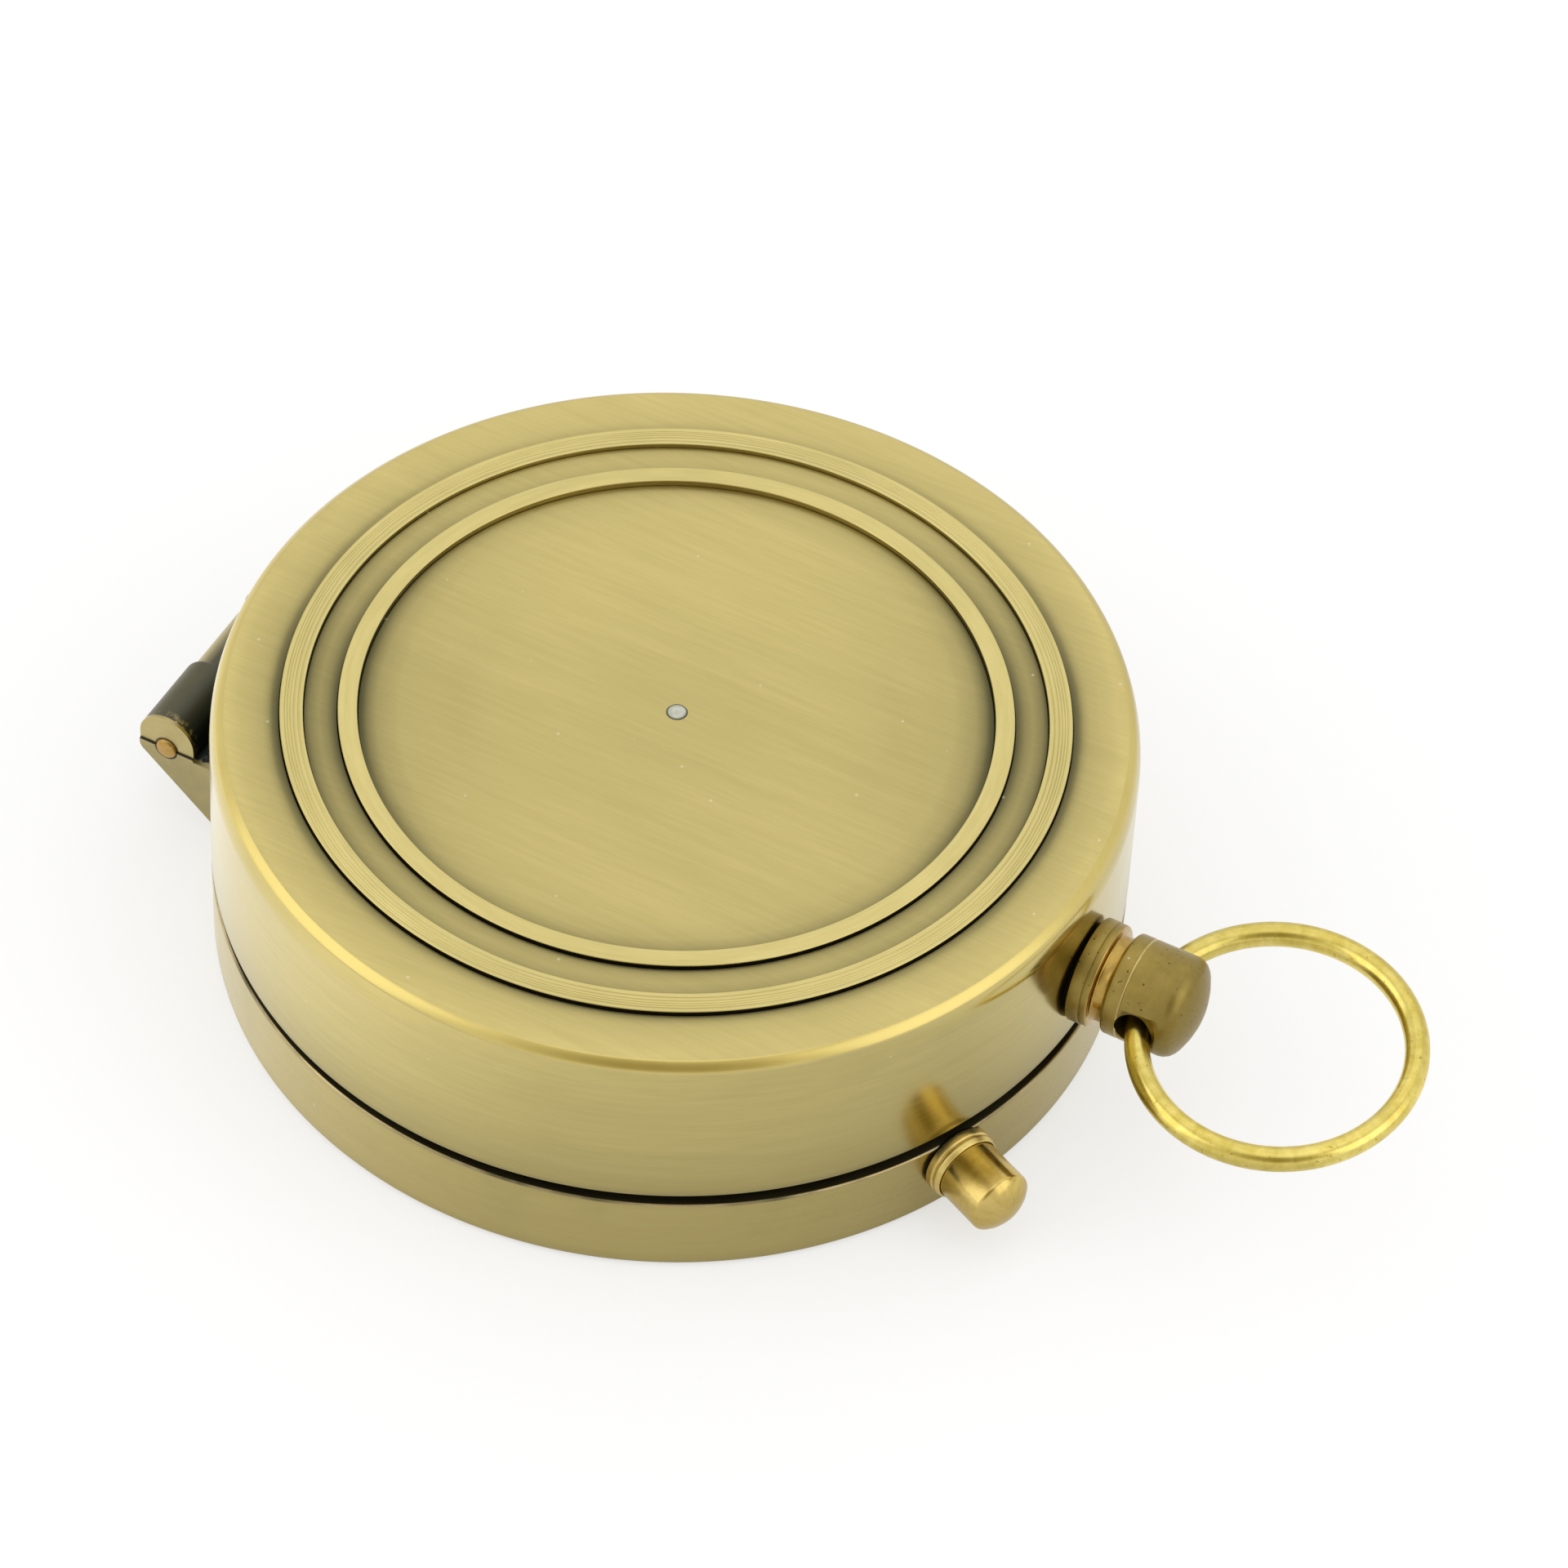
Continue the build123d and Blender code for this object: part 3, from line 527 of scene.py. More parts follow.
class Smith:
    """Makes bmesh shapes and sets them on the CAD frame as pieces."""

    @staticmethod
    def turned(outline: Sequence[Corner], steps: int, arc_steps: int = 3) -> Shape:
        """Spin a closed outline round Z.

        Args:
            outline: Corners in order; two corners may lie on the axis.
            steps: Facets round the axis.
            arc_steps: Segments of a rounded corner.

        Returns:
            The turned shape.
        """
        bm = bmesh.new()
        verts = [bm.verts.new((corner[0] * MM, 0.0, corner[1] * MM)) for corner in outline]
        bm.faces.new(verts)
        for corner, vert in zip(outline, verts):
            if len(corner) == 3:
                bmesh.ops.bevel(
                    bm, geom=[vert], offset=corner[2] * MM, offset_type="OFFSET", affect="VERTICES",
                    segments=arc_steps, profile=0.5, material=-1,
                )
        bmesh.ops.delete(bm, geom=bm.faces[:], context="FACES_ONLY")
        on_axis = [e for e in bm.edges if all(abs(v.co.x) < 1e-9 for v in e.verts)]
        bmesh.ops.delete(bm, geom=on_axis, context="EDGES")
        bmesh.ops.spin(
            bm, geom=bm.verts[:] + bm.edges[:], cent=(0, 0, 0), axis=(0, 0, 1), angle=FULL_TURN, steps=steps,
            use_merge=True,
        )
        bmesh.ops.remove_doubles(bm, verts=bm.verts[:], dist=SAME_SPOT)
        bmesh.ops.recalc_face_normals(bm, faces=bm.faces[:])
        return bm

    @staticmethod
    def domed(radius: float, base: float, rise: float, rounding: float) -> list[Corner]:
        """Return the corners of a shallow domed end, from its edge to the axis.

        Args:
            radius: Radius of the edge.
            base: Height of the edge.
            rise: Height of the dome above its edge.
            rounding: Rounding of the edge.

        Returns:
            The corners.
        """
        sphere = (radius ** 2 + rise ** 2) / (2 * rise)
        rings = [radius * share for share in (0.8, 0.6, 0.4, 0.2)]
        arc = [(r, base + rise - sphere + math.sqrt(sphere ** 2 - r ** 2)) for r in rings]
        return [(radius, base, rounding), *arc, (0.0, base + rise)]

    @staticmethod
    def object_of(bm: Shape, name: str, seat: Seat = Seat()) -> Piece:
        """Turn a bmesh into a linked, smooth object whose place is in its mesh.

        Args:
            bm: Shape, freed here.
            name: Name of the object.
            seat: Where the shape goes.

        Returns:
            The new object.
        """
        bm.transform(seat.matrix())
        for face in bm.faces:
            face.smooth = True
        for edge in bm.edges:
            if edge.is_manifold and edge.calc_face_angle() > SHARP_ANGLE:
                edge.smooth = False
        mesh = bpy.data.meshes.new(name)
        bm.to_mesh(mesh)
        bm.free()
        obj = bpy.data.objects.new(name, mesh)
        bpy.context.scene.collection.objects.link(obj)
        return obj

    @classmethod
    def drill(cls, obj: Piece, radius: float, depth: float, seat: Seat) -> None:
        """Cut a round hole into a piece and merge what the cut doubled.

        Args:
            obj: Piece to cut.
            radius: Radius in millimetres.
            depth: Length in millimetres, half to each side of the seat.
            seat: Place of the hole's middle, whose Z axis is the hole's axis.
        """
        bm = bmesh.new()
        bmesh.ops.create_cone(
            bm, cap_ends=True, segments=48, radius1=radius * MM, radius2=radius * MM, depth=depth * MM
        )
        cutter = cls.object_of(bm, "drill", seat)
        modifier = obj.modifiers.new("cut", "BOOLEAN")
        modifier.operation = "DIFFERENCE"
        modifier.solver = "EXACT"
        modifier.object = cutter
        old, mesh = obj.data, cls.evaluated(obj)
        obj.modifiers.remove(modifier)
        obj.data = mesh
        mesh.name = obj.name
        bpy.data.meshes.remove(old)
        bpy.data.objects.remove(cutter)
        bm = bmesh.new()
        bm.from_mesh(mesh)
        bmesh.ops.remove_doubles(bm, verts=bm.verts[:], dist=SAME_SPOT)
        bm.to_mesh(mesh)
        bm.free()

    @staticmethod
    def evaluated(obj: Piece) -> bpy.types.Mesh:
        """Return a new mesh of an object as its modifiers or its curve make it."""
        return bpy.data.meshes.new_from_object(obj.evaluated_get(bpy.context.evaluated_depsgraph_get()))

    @classmethod
    def softened(cls, node: str, name: str, rounding: float, clear_r: float) -> Piece:
        """Copy a CAD node with its free sharp edges rubbed round.

        Args:
            node: Name of the CAD node.
            name: Name of the new piece.
            rounding: Width of the rounding in millimetres.
            clear_r: Edges nearer to the case's axis than this stay sharp, in millimetres.

        Returns:
            The new piece.
        """
        bm = bmesh.new()
        bm.from_mesh(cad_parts[node].data)
        bmesh.ops.remove_doubles(bm, verts=bm.verts[:], dist=1e-6)
        bmesh.ops.dissolve_limit(bm, angle_limit=math.radians(1.0), verts=bm.verts[:], edges=bm.edges[:])
        free = [
            e for e in bm.edges
            if e.is_manifold and e.calc_face_angle() > SHARP_ANGLE
            and all(math.hypot(v.co.x, v.co.y) > clear_r * MM for v in e.verts)
        ]
        bmesh.ops.bevel(
            bm, geom=free, offset=rounding * MM, offset_type="OFFSET", affect="EDGES", segments=4, profile=0.5,
            material=-1, clamp_overlap=True,
        )
        bmesh.ops.recalc_face_normals(bm, faces=bm.faces[:])
        return cls.object_of(bm, name)

    @staticmethod
    def place(
        obj: Piece, body: str, slot: str, finishes: Sequence[Finish], stands_for: Sequence[str] = (),
        zone: Optional[Zone] = None, even: bool = True,
    ) -> None:
        """Dress a new piece and set it on a body.

        Args:
            obj: Piece.
            body: CAD body that it rides on.
            slot: Material slot of the record; not used.
            finishes: Finishes, in the order of the zones.
            stands_for: CAD nodes that it replaces.
            zone: Gives the index of each face's finish; else all have the first.
            even: Whether flats stay flat beside small rounds, by normals weighted with face areas.
        """
        for finish in finishes:
            obj.data.materials.append(made(finish))
        if zone:
            for polygon in obj.data.polygons:
                polygon.material_index = zone(*(c / MM for c in polygon.center))
        if even:
            modifier = obj.modifiers.new("even_normals", "WEIGHTED_NORMAL")
            modifier.mode = "FACE_AREA"
            modifier.keep_sharp = True
        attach(obj, body)
        if stands_for:
            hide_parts(*stands_for)
        LOG.info("piece %s on %s", obj.name, body)

    @staticmethod
    def dress(finish: Finish, *nodes: str) -> None:
        """Give carried-over CAD nodes a material.

        Args:
            finish: Finish of the nodes.
            *nodes: Names of the CAD nodes.
        """
        for node in nodes:
            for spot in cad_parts[node].material_slots:
                spot.material = made(finish)
            LOG.info("node %s in %s", node, finish.name)


# Black stand-in for shade: painted shade at the outer bead feet, on the stub behind the pendant's washer and on the
# stub behind the bush.
PAINTED_SHADE_BLACK = MetalFinish(
    "painted_shade_black", (0.012, 0.010, 0.008), (0.02, 0.017, 0.012), (0.006, 0.005, 0.004), roughness=0.7, brush=Brush.NONE,
)
# Dark lip faces: painted shade, so that the gap between lid and bowl reads black.
LIP_PAINTED_SHADE = MetalFinish("lip_painted_shade", (0.08, 0.065, 0.03), (0.13, 0.107, 0.05), roughness=0.5, grain=0.7, cloud=0.3)
BRASS = (COLOURS.brass, COLOURS.brass_bright)
STEEL = (COLOURS.steel, COLOURS.steel_bright)


@dataclass
class Bowl:
    """Turned bowl with its chamfered rim and the two raised beads of its back."""

    case_r: float = 30.0
    z_mouth: float = 6.95
    z_back: float = 18.9
    land_rise: float = 0.12
    side_r: float = 29.86
    crease_r: float = 28.96
    edge_r: float = 29.52
    edge_drop: float = 0.37
    shoulder_turn: float = 27.0
    chamfer_turns: tuple[float, float] = (38.0, 60.0)
    rim_steps: int = 6
    bead_edges: tuple[float, ...] = (25.35, 23.85, 21.65, 20.4)
    bead_h: float = 0.45
    bead_round: float = 0.07
    bead_lines: tuple[float, ...] = (25.03, 24.86, 24.68, 24.47, 24.18)
    line_half: float = 0.045
    line_depth: float = 0.035
    groove: float = 0.06
    bore_r: float = 27.5
    capsule_r: float = 26.0
    z_ledge: float = 12.3
    z_floor: float = 17.3
    rivet_hole_r: float = 0.68
    steps: int = 288

    def build(self) -> None:
        """Turn and dress the bowl."""
        land = self.z_back + self.land_rise
        outline = [
            (self.bore_r, self.z_mouth, 0.12), (self.case_r, self.z_mouth, 0.16), *self._rim_outline(),
            *self._bead_outline(*self.bead_edges[:2], land, land, self.bead_lines),
            *self._bead_outline(*self.bead_edges[2:], land, self.z_back, ()),
            (self.rivet_hole_r, self.z_back, 0.03), (self.rivet_hole_r, self.z_floor),
            (self.capsule_r, self.z_floor, 0.1), (self.capsule_r, self.z_ledge, 0.05),
            (self.bore_r, self.z_ledge, 0.05),
        ]
        shell = Smith.object_of(Smith.turned(outline, self.steps, 5), "bowl_shell")
        Smith.place(shell, "bowl", "case_brass", self._finishes(), ["bowl_case"], self._zone)

    def _rim_outline(self) -> list[Corner]:
        """Return the corners of the worn rim: a soft shoulder, then a crowned chamfer with crisp edges."""
        edge_z = self.z_back - self.edge_drop
        turn = math.radians(self.shoulder_turn)
        bow_r = (self.side_r - self.edge_r) / (1 - math.cos(turn))
        low_z = edge_z - bow_r * math.sin(turn)
        corners = []
        for step in range(self.rim_steps):
            angle = turn * step / self.rim_steps
            corners.append((self.side_r - bow_r * (1 - math.cos(angle)), low_z + bow_r * math.sin(angle)))
        first, last = (math.radians(a) for a in self.chamfer_turns)
        crown_r = (self.edge_r - self.crease_r) / (math.cos(first) - math.cos(last))
        rise = (self.z_back + self.land_rise - edge_z) / (math.sin(last) - math.sin(first))
        for step in range(self.rim_steps + 1):
            angle = first + (last - first) * step / self.rim_steps
            r = self.edge_r - crown_r * (math.cos(first) - math.cos(angle))
            corners.append((r, edge_z + rise * (math.sin(angle) - math.sin(first))))
        corners[-1] += (0.05,)
        return corners

    def _bead_outline(
        self, outer: float, inner: float, land: float, field_z: float, lines: Iterable[float]
    ) -> list[Corner]:
        """Return a bead's corners from outside in, with a fine groove at each foot.

        Args:
            outer: Outer radius.
            inner: Inner radius.
            land: Height of the flat outside the bead.
            field_z: Height of the flat inside the bead.
            lines: Radii of the turning lines on its top.

        Returns:
            The corners.
        """
        top, cut = self.z_back + self.bead_h, self.groove
        corners = [(outer + cut, land, 0.03), (outer, land - cut), (outer, land + cut), (outer, top, self.bead_round)]
        for r in lines:
            corners += [(r + self.line_half, top), (r, top - self.line_depth), (r - self.line_half, top)]
        return corners + [
            (inner, top, self.bead_round), (inner, field_z + cut), (inner, field_z - cut), (inner - cut, field_z, 0.03),
        ]

    def _zone(self, x: float, y: float, z: float) -> int:
        """Return the index of a face's finish by the place of its centre."""
        r = math.hypot(x, y)
        # The mouth face takes the dark lip finish as painted gap shade.
        if z < self.z_mouth + 0.1:
            return 5
        if r < self.bore_r + 0.05 and z < self.z_floor + 0.05:
            return 4
        if r > self.crease_r - 0.02:
            return 3 if z > self.z_back - self.edge_drop - 0.02 else 0
        if z > self.z_back + self.bead_h - 0.12:
            return 2
        # The outer bead feet take the black finish as painted shade.
        shaded = any(edge - 0.02 < r < edge + self.groove - 0.01 for edge in self.bead_edges[::2])
        return 6 if shaded else 1

    def _finishes(self) -> list[MetalFinish]:
        """Return the finishes of side, flat back, bead tops, chamfer, inside, lip darkened as painted gap shade, and
        bead feet painted black as shade.
        """
        e = self.bead_edges
        # Side band: darker toward the mouth, next to the gap: painted shade, along with some tarnish at the mouth.
        side = Band(Measure.HEIGHT, ((6.95, 0.52), (7.5, 0.3), (9.5, 0.18), (12.5, 0.07), (18.3, 0.0)))
        back = Band(Measure.RADIUS, (
            (0.0, 0.36), (4.0, 0.34), (8.0, 0.27), (12.0, 0.22), (15.5, 0.22), (17.8, 0.27), (19.2, 0.46),
            (19.8, 0.74), (20.1, 0.95), (e[3], 1.0), (e[2], 1.0), (21.9, 0.9), (22.3, 0.66), (22.8, 0.52),
            (23.4, 0.7), (e[1], 1.0), (e[0], 1.0), (25.75, 0.84), (26.05, 0.5), (26.4, 0.31), (27.2, 0.2),
            (28.0, 0.12), (28.7, 0.0),
        ))
        return [
            MetalFinish(
                "side_brass", *BRASS, roughness=0.17, relief_mm=0.002, cloud=0.06, band=side, anisotropy=0.5,
                flecks=0.25,
            ),
            # Back band: tarnish round the beads, scaled by painted shade that is heaviest on the two sides across the
            # view.
            MetalFinish(
                "back_brass", (0.514, 0.425, 0.16), (0.628, 0.519, 0.206), roughness=0.36, brush=Brush.ALONG_X,
                grain=0.6, cloud=0.1, band=back, anisotropy=0.35, flecks=0.3, rubbed=True,
            ),
            MetalFinish(
                "bead_brass", (0.52, 0.435, 0.165), (0.67, 0.57, 0.235), grain=0.6, relief_mm=0.003, cloud=0.05,
            ),
            MetalFinish("rim_brass", (0.555, 0.446, 0.143), (0.67, 0.538, 0.187), roughness=0.28, cloud=0.04),
            MetalFinish("bore_brass", *BRASS, roughness=0.36, grain=0.7, relief_mm=0.006, cloud=0.2),
            LIP_PAINTED_SHADE,
            PAINTED_SHADE_BLACK,
        ]


@dataclass
class Lid:
    """Shallow lid that the case lies on."""

    case_r: float = 30.0
    inner_r: float = 28.2
    height: float = 6.2
    floor: float = 1.4
    button_turn: float = -24.5
    button_z: float = 4.0
    bush_hole_r: float = 1.4
    screw_x: float = 19.15
    screw_r: float = 0.6
    lip: float = 0.16
    sunk: float = 0.42
    steps: int = 288

    def build(self) -> None:
        """Turn, drill and dress the lid, and dress the plain parts inside it."""
        turned = Smith.turned([
            (0.0, 0.0), (self.case_r, 0.0, 0.5), (self.case_r, self.height, 0.15),
            (self.inner_r, self.height, 0.15), (self.inner_r, self.floor, 0.3), (0.0, self.floor),
        ], self.steps, 5)
        for vert in turned.verts:
            if vert.co.z > (self.height - self.lip) * MM:
                vert.co.z -= self._dip(vert.co.x / MM) * MM
        shell = Smith.object_of(turned, "lid_turned")
        around = math.radians(self.button_turn)
        spot = (self.case_r * math.cos(around), self.case_r * math.sin(around), self.button_z)
        Smith.drill(shell, self.bush_hole_r, 8.0, Seat(spot, (0.0, 90.0, self.button_turn)))
        spot = (self.screw_x * math.cos(around), self.screw_x * math.sin(around), self.floor)
        Smith.drill(shell, self.screw_r, 1.6, Seat(spot))
        Smith.place(shell, "lid", "case_brass", self._finishes(), ["lid_shell"], self._zone)
        Smith.dress(MetalFinish(
            "plain_brass", (0.58, 0.42, 0.15), (0.70, 0.54, 0.22), roughness=0.32, brush=Brush.NONE, cloud=0.2,
        ), "bush_nut", "spring_post", "latch_catch")
        Smith.dress(MetalFinish(
            "bright_steel", *STEEL, (0.12, 0.12, 0.12), roughness=0.28, brush=Brush.NONE, cloud=0.1,
        ), "post_screw", "latch_hook")

    def _dip(self, x: float) -> float:
        """Return how far the lip lies lower at a place along X, since the gap widens toward the pendant."""
        return self.sunk * ((x + self.case_r) / (2 * self.case_r)) ** 4

    def _zone(self, x: float, y: float, z: float) -> int:
        """Return the index of a face's finish by the place of its centre."""
        r = math.hypot(x, y)
        # The lip's top face takes the dark lip finish as painted gap shade; its outer edge keeps the worn edge.
        if z > self.height - self.lip - self._dip(x):
            return 3 if r > self.case_r - 0.14 else 4
        if r > self.inner_r + 0.3:
            return 0 if z > 0.03 else 1
        return 2 if z > self.floor / 2 else 1

    def _finishes(self) -> list[MetalFinish]:
        """Return the finishes of side, underside, inside, upper edge with its copper wear, and lip darkened as painted
        gap shade.
        """
        side = Band(Measure.HEIGHT, ((0.0, 0.3), (0.6, 0.12), (1.4, 0.05), (5.6, 0.02), (self.height, 0.2)))
        foot = Band(Measure.RADIUS, ((0.0, 0.04), (20.0, 0.06), (27.0, 0.12), (29.2, 0.3), (29.8, 0.4)))
        inside = Band(Measure.RADIUS, ((0.0, 0.02), (25.0, 0.06), (27.4, 0.3), (28.2, 0.45)))
        return [
            MetalFinish(
                "lid_brass", (0.43, 0.345, 0.135), COLOURS.brass, roughness=0.28, grain=0.55, relief_mm=0.003,
                cloud=0.1, band=side, anisotropy=0.4, flecks=0.3,
            ),
            MetalFinish(
                "foot_brass", *BRASS, roughness=0.36, brush=Brush.ALONG_X, grain=0.6, relief_mm=0.003, cloud=0.14,
                band=foot, anisotropy=0.35, flecks=0.5,
            ),
            MetalFinish("lid_inside", *BRASS, roughness=0.36, grain=0.8, relief_mm=0.006, cloud=0.2, band=inside),
            MetalFinish("worn_edge", (0.34, 0.265, 0.115), (0.53, 0.42, 0.22), roughness=0.36, grain=0.9, cloud=0.9),
            LIP_PAINTED_SHADE,
        ]


@dataclass
class Hinge:
    """Three-leaf hinge on the case's side."""

    pin_x: float = -32.8
    pin_z: float = 6.4
    pin_r: float = 0.8
    half: float = 9.6
    proud: float = 0.15
    rounding: float = 0.26
    clear_r: float = 30.4

    def build(self) -> None:
        """Rub the bracket's edges round, dress the knuckles and make the pin with domed ends."""
        seat = Seat((self.pin_x, 0.0, self.pin_z), (90.0, 0.0, 0.0))
        worn = HingeFinish(
            "hinge_brass", (0.35, 0.285, 0.125), (0.46, 0.38, 0.165), COLOURS.gun, brush=Brush.NONE, seat=seat,
            grain=0.6, relief_mm=0.006, cloud=0.1, pin_r=self.pin_r,
        )
        bracket = Smith.softened("lid_hinge_bracket", "bracket_worn", self.rounding, self.clear_r)
        Smith.place(bracket, "lid", "hinge_brass", [worn], ["lid_hinge_bracket"])
        Smith.dress(MetalFinish(
            "tongue_brass", (0.44, 0.365, 0.17), (0.56, 0.46, 0.21), COLOURS.gun, brush=Brush.NONE,
            seat=Seat(seat.centre, (0.0, 90.0, 0.0)), grain=0.6, cloud=0.1,
            band=Band(Measure.HEIGHT, ((-2.1, 0.05), (-1.2, 0.3), (-0.4, 0.85), (1.5, 0.96))),
        ), "bowl_hinge_tongue")
        end = self.half + self.proud
        outline = [(0.0, -end), (self.pin_r, -end, 0.3), (self.pin_r, end, 0.3), (0.0, end)]
        pin = Smith.object_of(Smith.turned(outline, 48, 4), "pin_rod", seat)
        copper = MetalFinish(
            "pin_copper", (0.28, 0.165, 0.035), (0.48, 0.31, 0.10), (0.1, 0.06, 0.03), seat=seat, cloud=0.3,
        )
        Smith.place(pin, "lid", "pin_brass", [copper], ["hinge_pin"])


@dataclass
class Pendant:
    """Turned pendant on the bowl's side with its loose bow."""

    axis_z: float = 11.3
    shank_r: float = 2.0
    x_shank: float = 28.2
    x_collar: float = 30.95
    ring_r: float = 3.47
    x_ring: float = 31.5
    neck_r: float = 2.9
    x_head: float = 32.43
    head_r: float = 3.4
    x_end: float = 36.9
    dome: float = 1.1
    hole_x: float = 34.75
    hole_r: float = 1.303
    line_at: float = 1.1
    line_half: float = 0.07
    line_depth: float = 0.06
    x_wall: float = 30.0
    collar_r: float = 3.5
    collar_t: float = 0.88
    stub_r: float = 2.95
    steps: int = 96

    def build(self) -> None:
        """Make the pendant, cut its cross hole and dress the collar and the bow."""
        seat = Seat((0.0, 0.0, self.axis_z), (0.0, 90.0, 0.0))
        line = self.x_head + self.line_at
        outline = [
            (0.0, self.x_shank), (self.shank_r, self.x_shank, 0.1), (self.shank_r, self.x_collar),
            (self.ring_r, self.x_collar, 0.02), (self.ring_r, self.x_ring, 0.16), (self.neck_r, self.x_ring, 0.2),
            (self.neck_r, self.x_head, 0.2), (self.head_r, self.x_head, 0.16),
            (self.head_r, line - self.line_half, 0.02), (self.head_r - self.line_depth, line, 0.02),
            (self.head_r, line + self.line_half, 0.02), *Smith.domed(self.head_r, self.x_end, self.dome, 0.55),
        ]
        post = Smith.object_of(Smith.turned(outline, self.steps), "pendant_turned", seat)
        Smith.drill(post, self.hole_r, 9.0, Seat((self.hole_x, 0.0, self.axis_z), (90.0, 0.0, 0.0)))
        dull = MetalFinish(
            "pendant_brass", COLOURS.umber, (0.37, 0.275, 0.077), (0.05, 0.04, 0.012), roughness=0.36, seat=seat,
            grain=0.6, relief_mm=0.006, cloud=0.35, pits=0.85, flecks=0.5,
            band=Band(Measure.HEIGHT, ((36.0, 0.0), (37.0, 0.22), (38.0, 0.3))),
        )
        bright = MetalFinish(
            "neck_gold", (0.36, 0.225, 0.05), (0.50, 0.335, 0.09), (0.12, 0.07, 0.02), roughness=0.18, seat=seat,
            grain=0.7, cloud=0.2,
        )
        scribed = MetalFinish(
            "line_brass", (0.46, 0.36, 0.13), (0.60, 0.48, 0.22), COLOURS.umber, brush=Brush.NONE, seat=seat,
            grain=0.9, cloud=0.9,
        )
        Smith.place(post, "bowl", "pendant_brass", [dull, bright, scribed], ["pendant_post"], self._zone)
        self._collar(seat, dull)
        Smith.dress(MetalFinish(
            "bow_brass", (0.60, 0.465, 0.09), (0.83, 0.69, 0.215), (0.10, 0.08, 0.02), roughness=0.21, brush=Brush.NONE,
            grain=0.9, relief_mm=0.006, cloud=0.25, pits=0.5,
        ), "bow_ring")

    def _zone(self, x: float, y: float, z: float) -> int:
        """Return 1 for a face of the bare neck groove, 2 for the scribed line, else 0."""
        r = math.hypot(y, z - self.axis_z)
        neck = self.x_ring - 0.12 < x < self.x_head + 0.05 and r < self.ring_r - 0.05
        line = abs(x - self.x_head - self.line_at) < 0.08 and self.head_r - 0.1 < r < self.head_r - 0.005
        return 1 if neck else 2 if line else 0

    def _collar(self, seat: Seat, dull: MetalFinish) -> None:
        """Make the washer, on a stub painted black as the shade in the gap to the round case.

        Args:
            seat: Local frame of the pendant.
            dull: Metal of the pendant.
        """
        low, base = self.x_collar - self.collar_t, self.x_wall - 0.4
        disc = Smith.turned([
            (self.shank_r, base), (self.stub_r, base), (self.stub_r, low), (self.collar_r, low, 0.06),
            (self.collar_r, self.x_collar, 0.04), (self.shank_r, self.x_collar),
        ], self.steps)
        collar = Smith.object_of(disc, "collar_disc", seat)
        # The stub behind the washer takes the black finish as painted shade.
        Smith.place(
            collar, "bowl", "pendant_brass", [dull, PAINTED_SHADE_BLACK], ["pendant_collar"], lambda x, y, z: int(x < low - 0.01),
        )


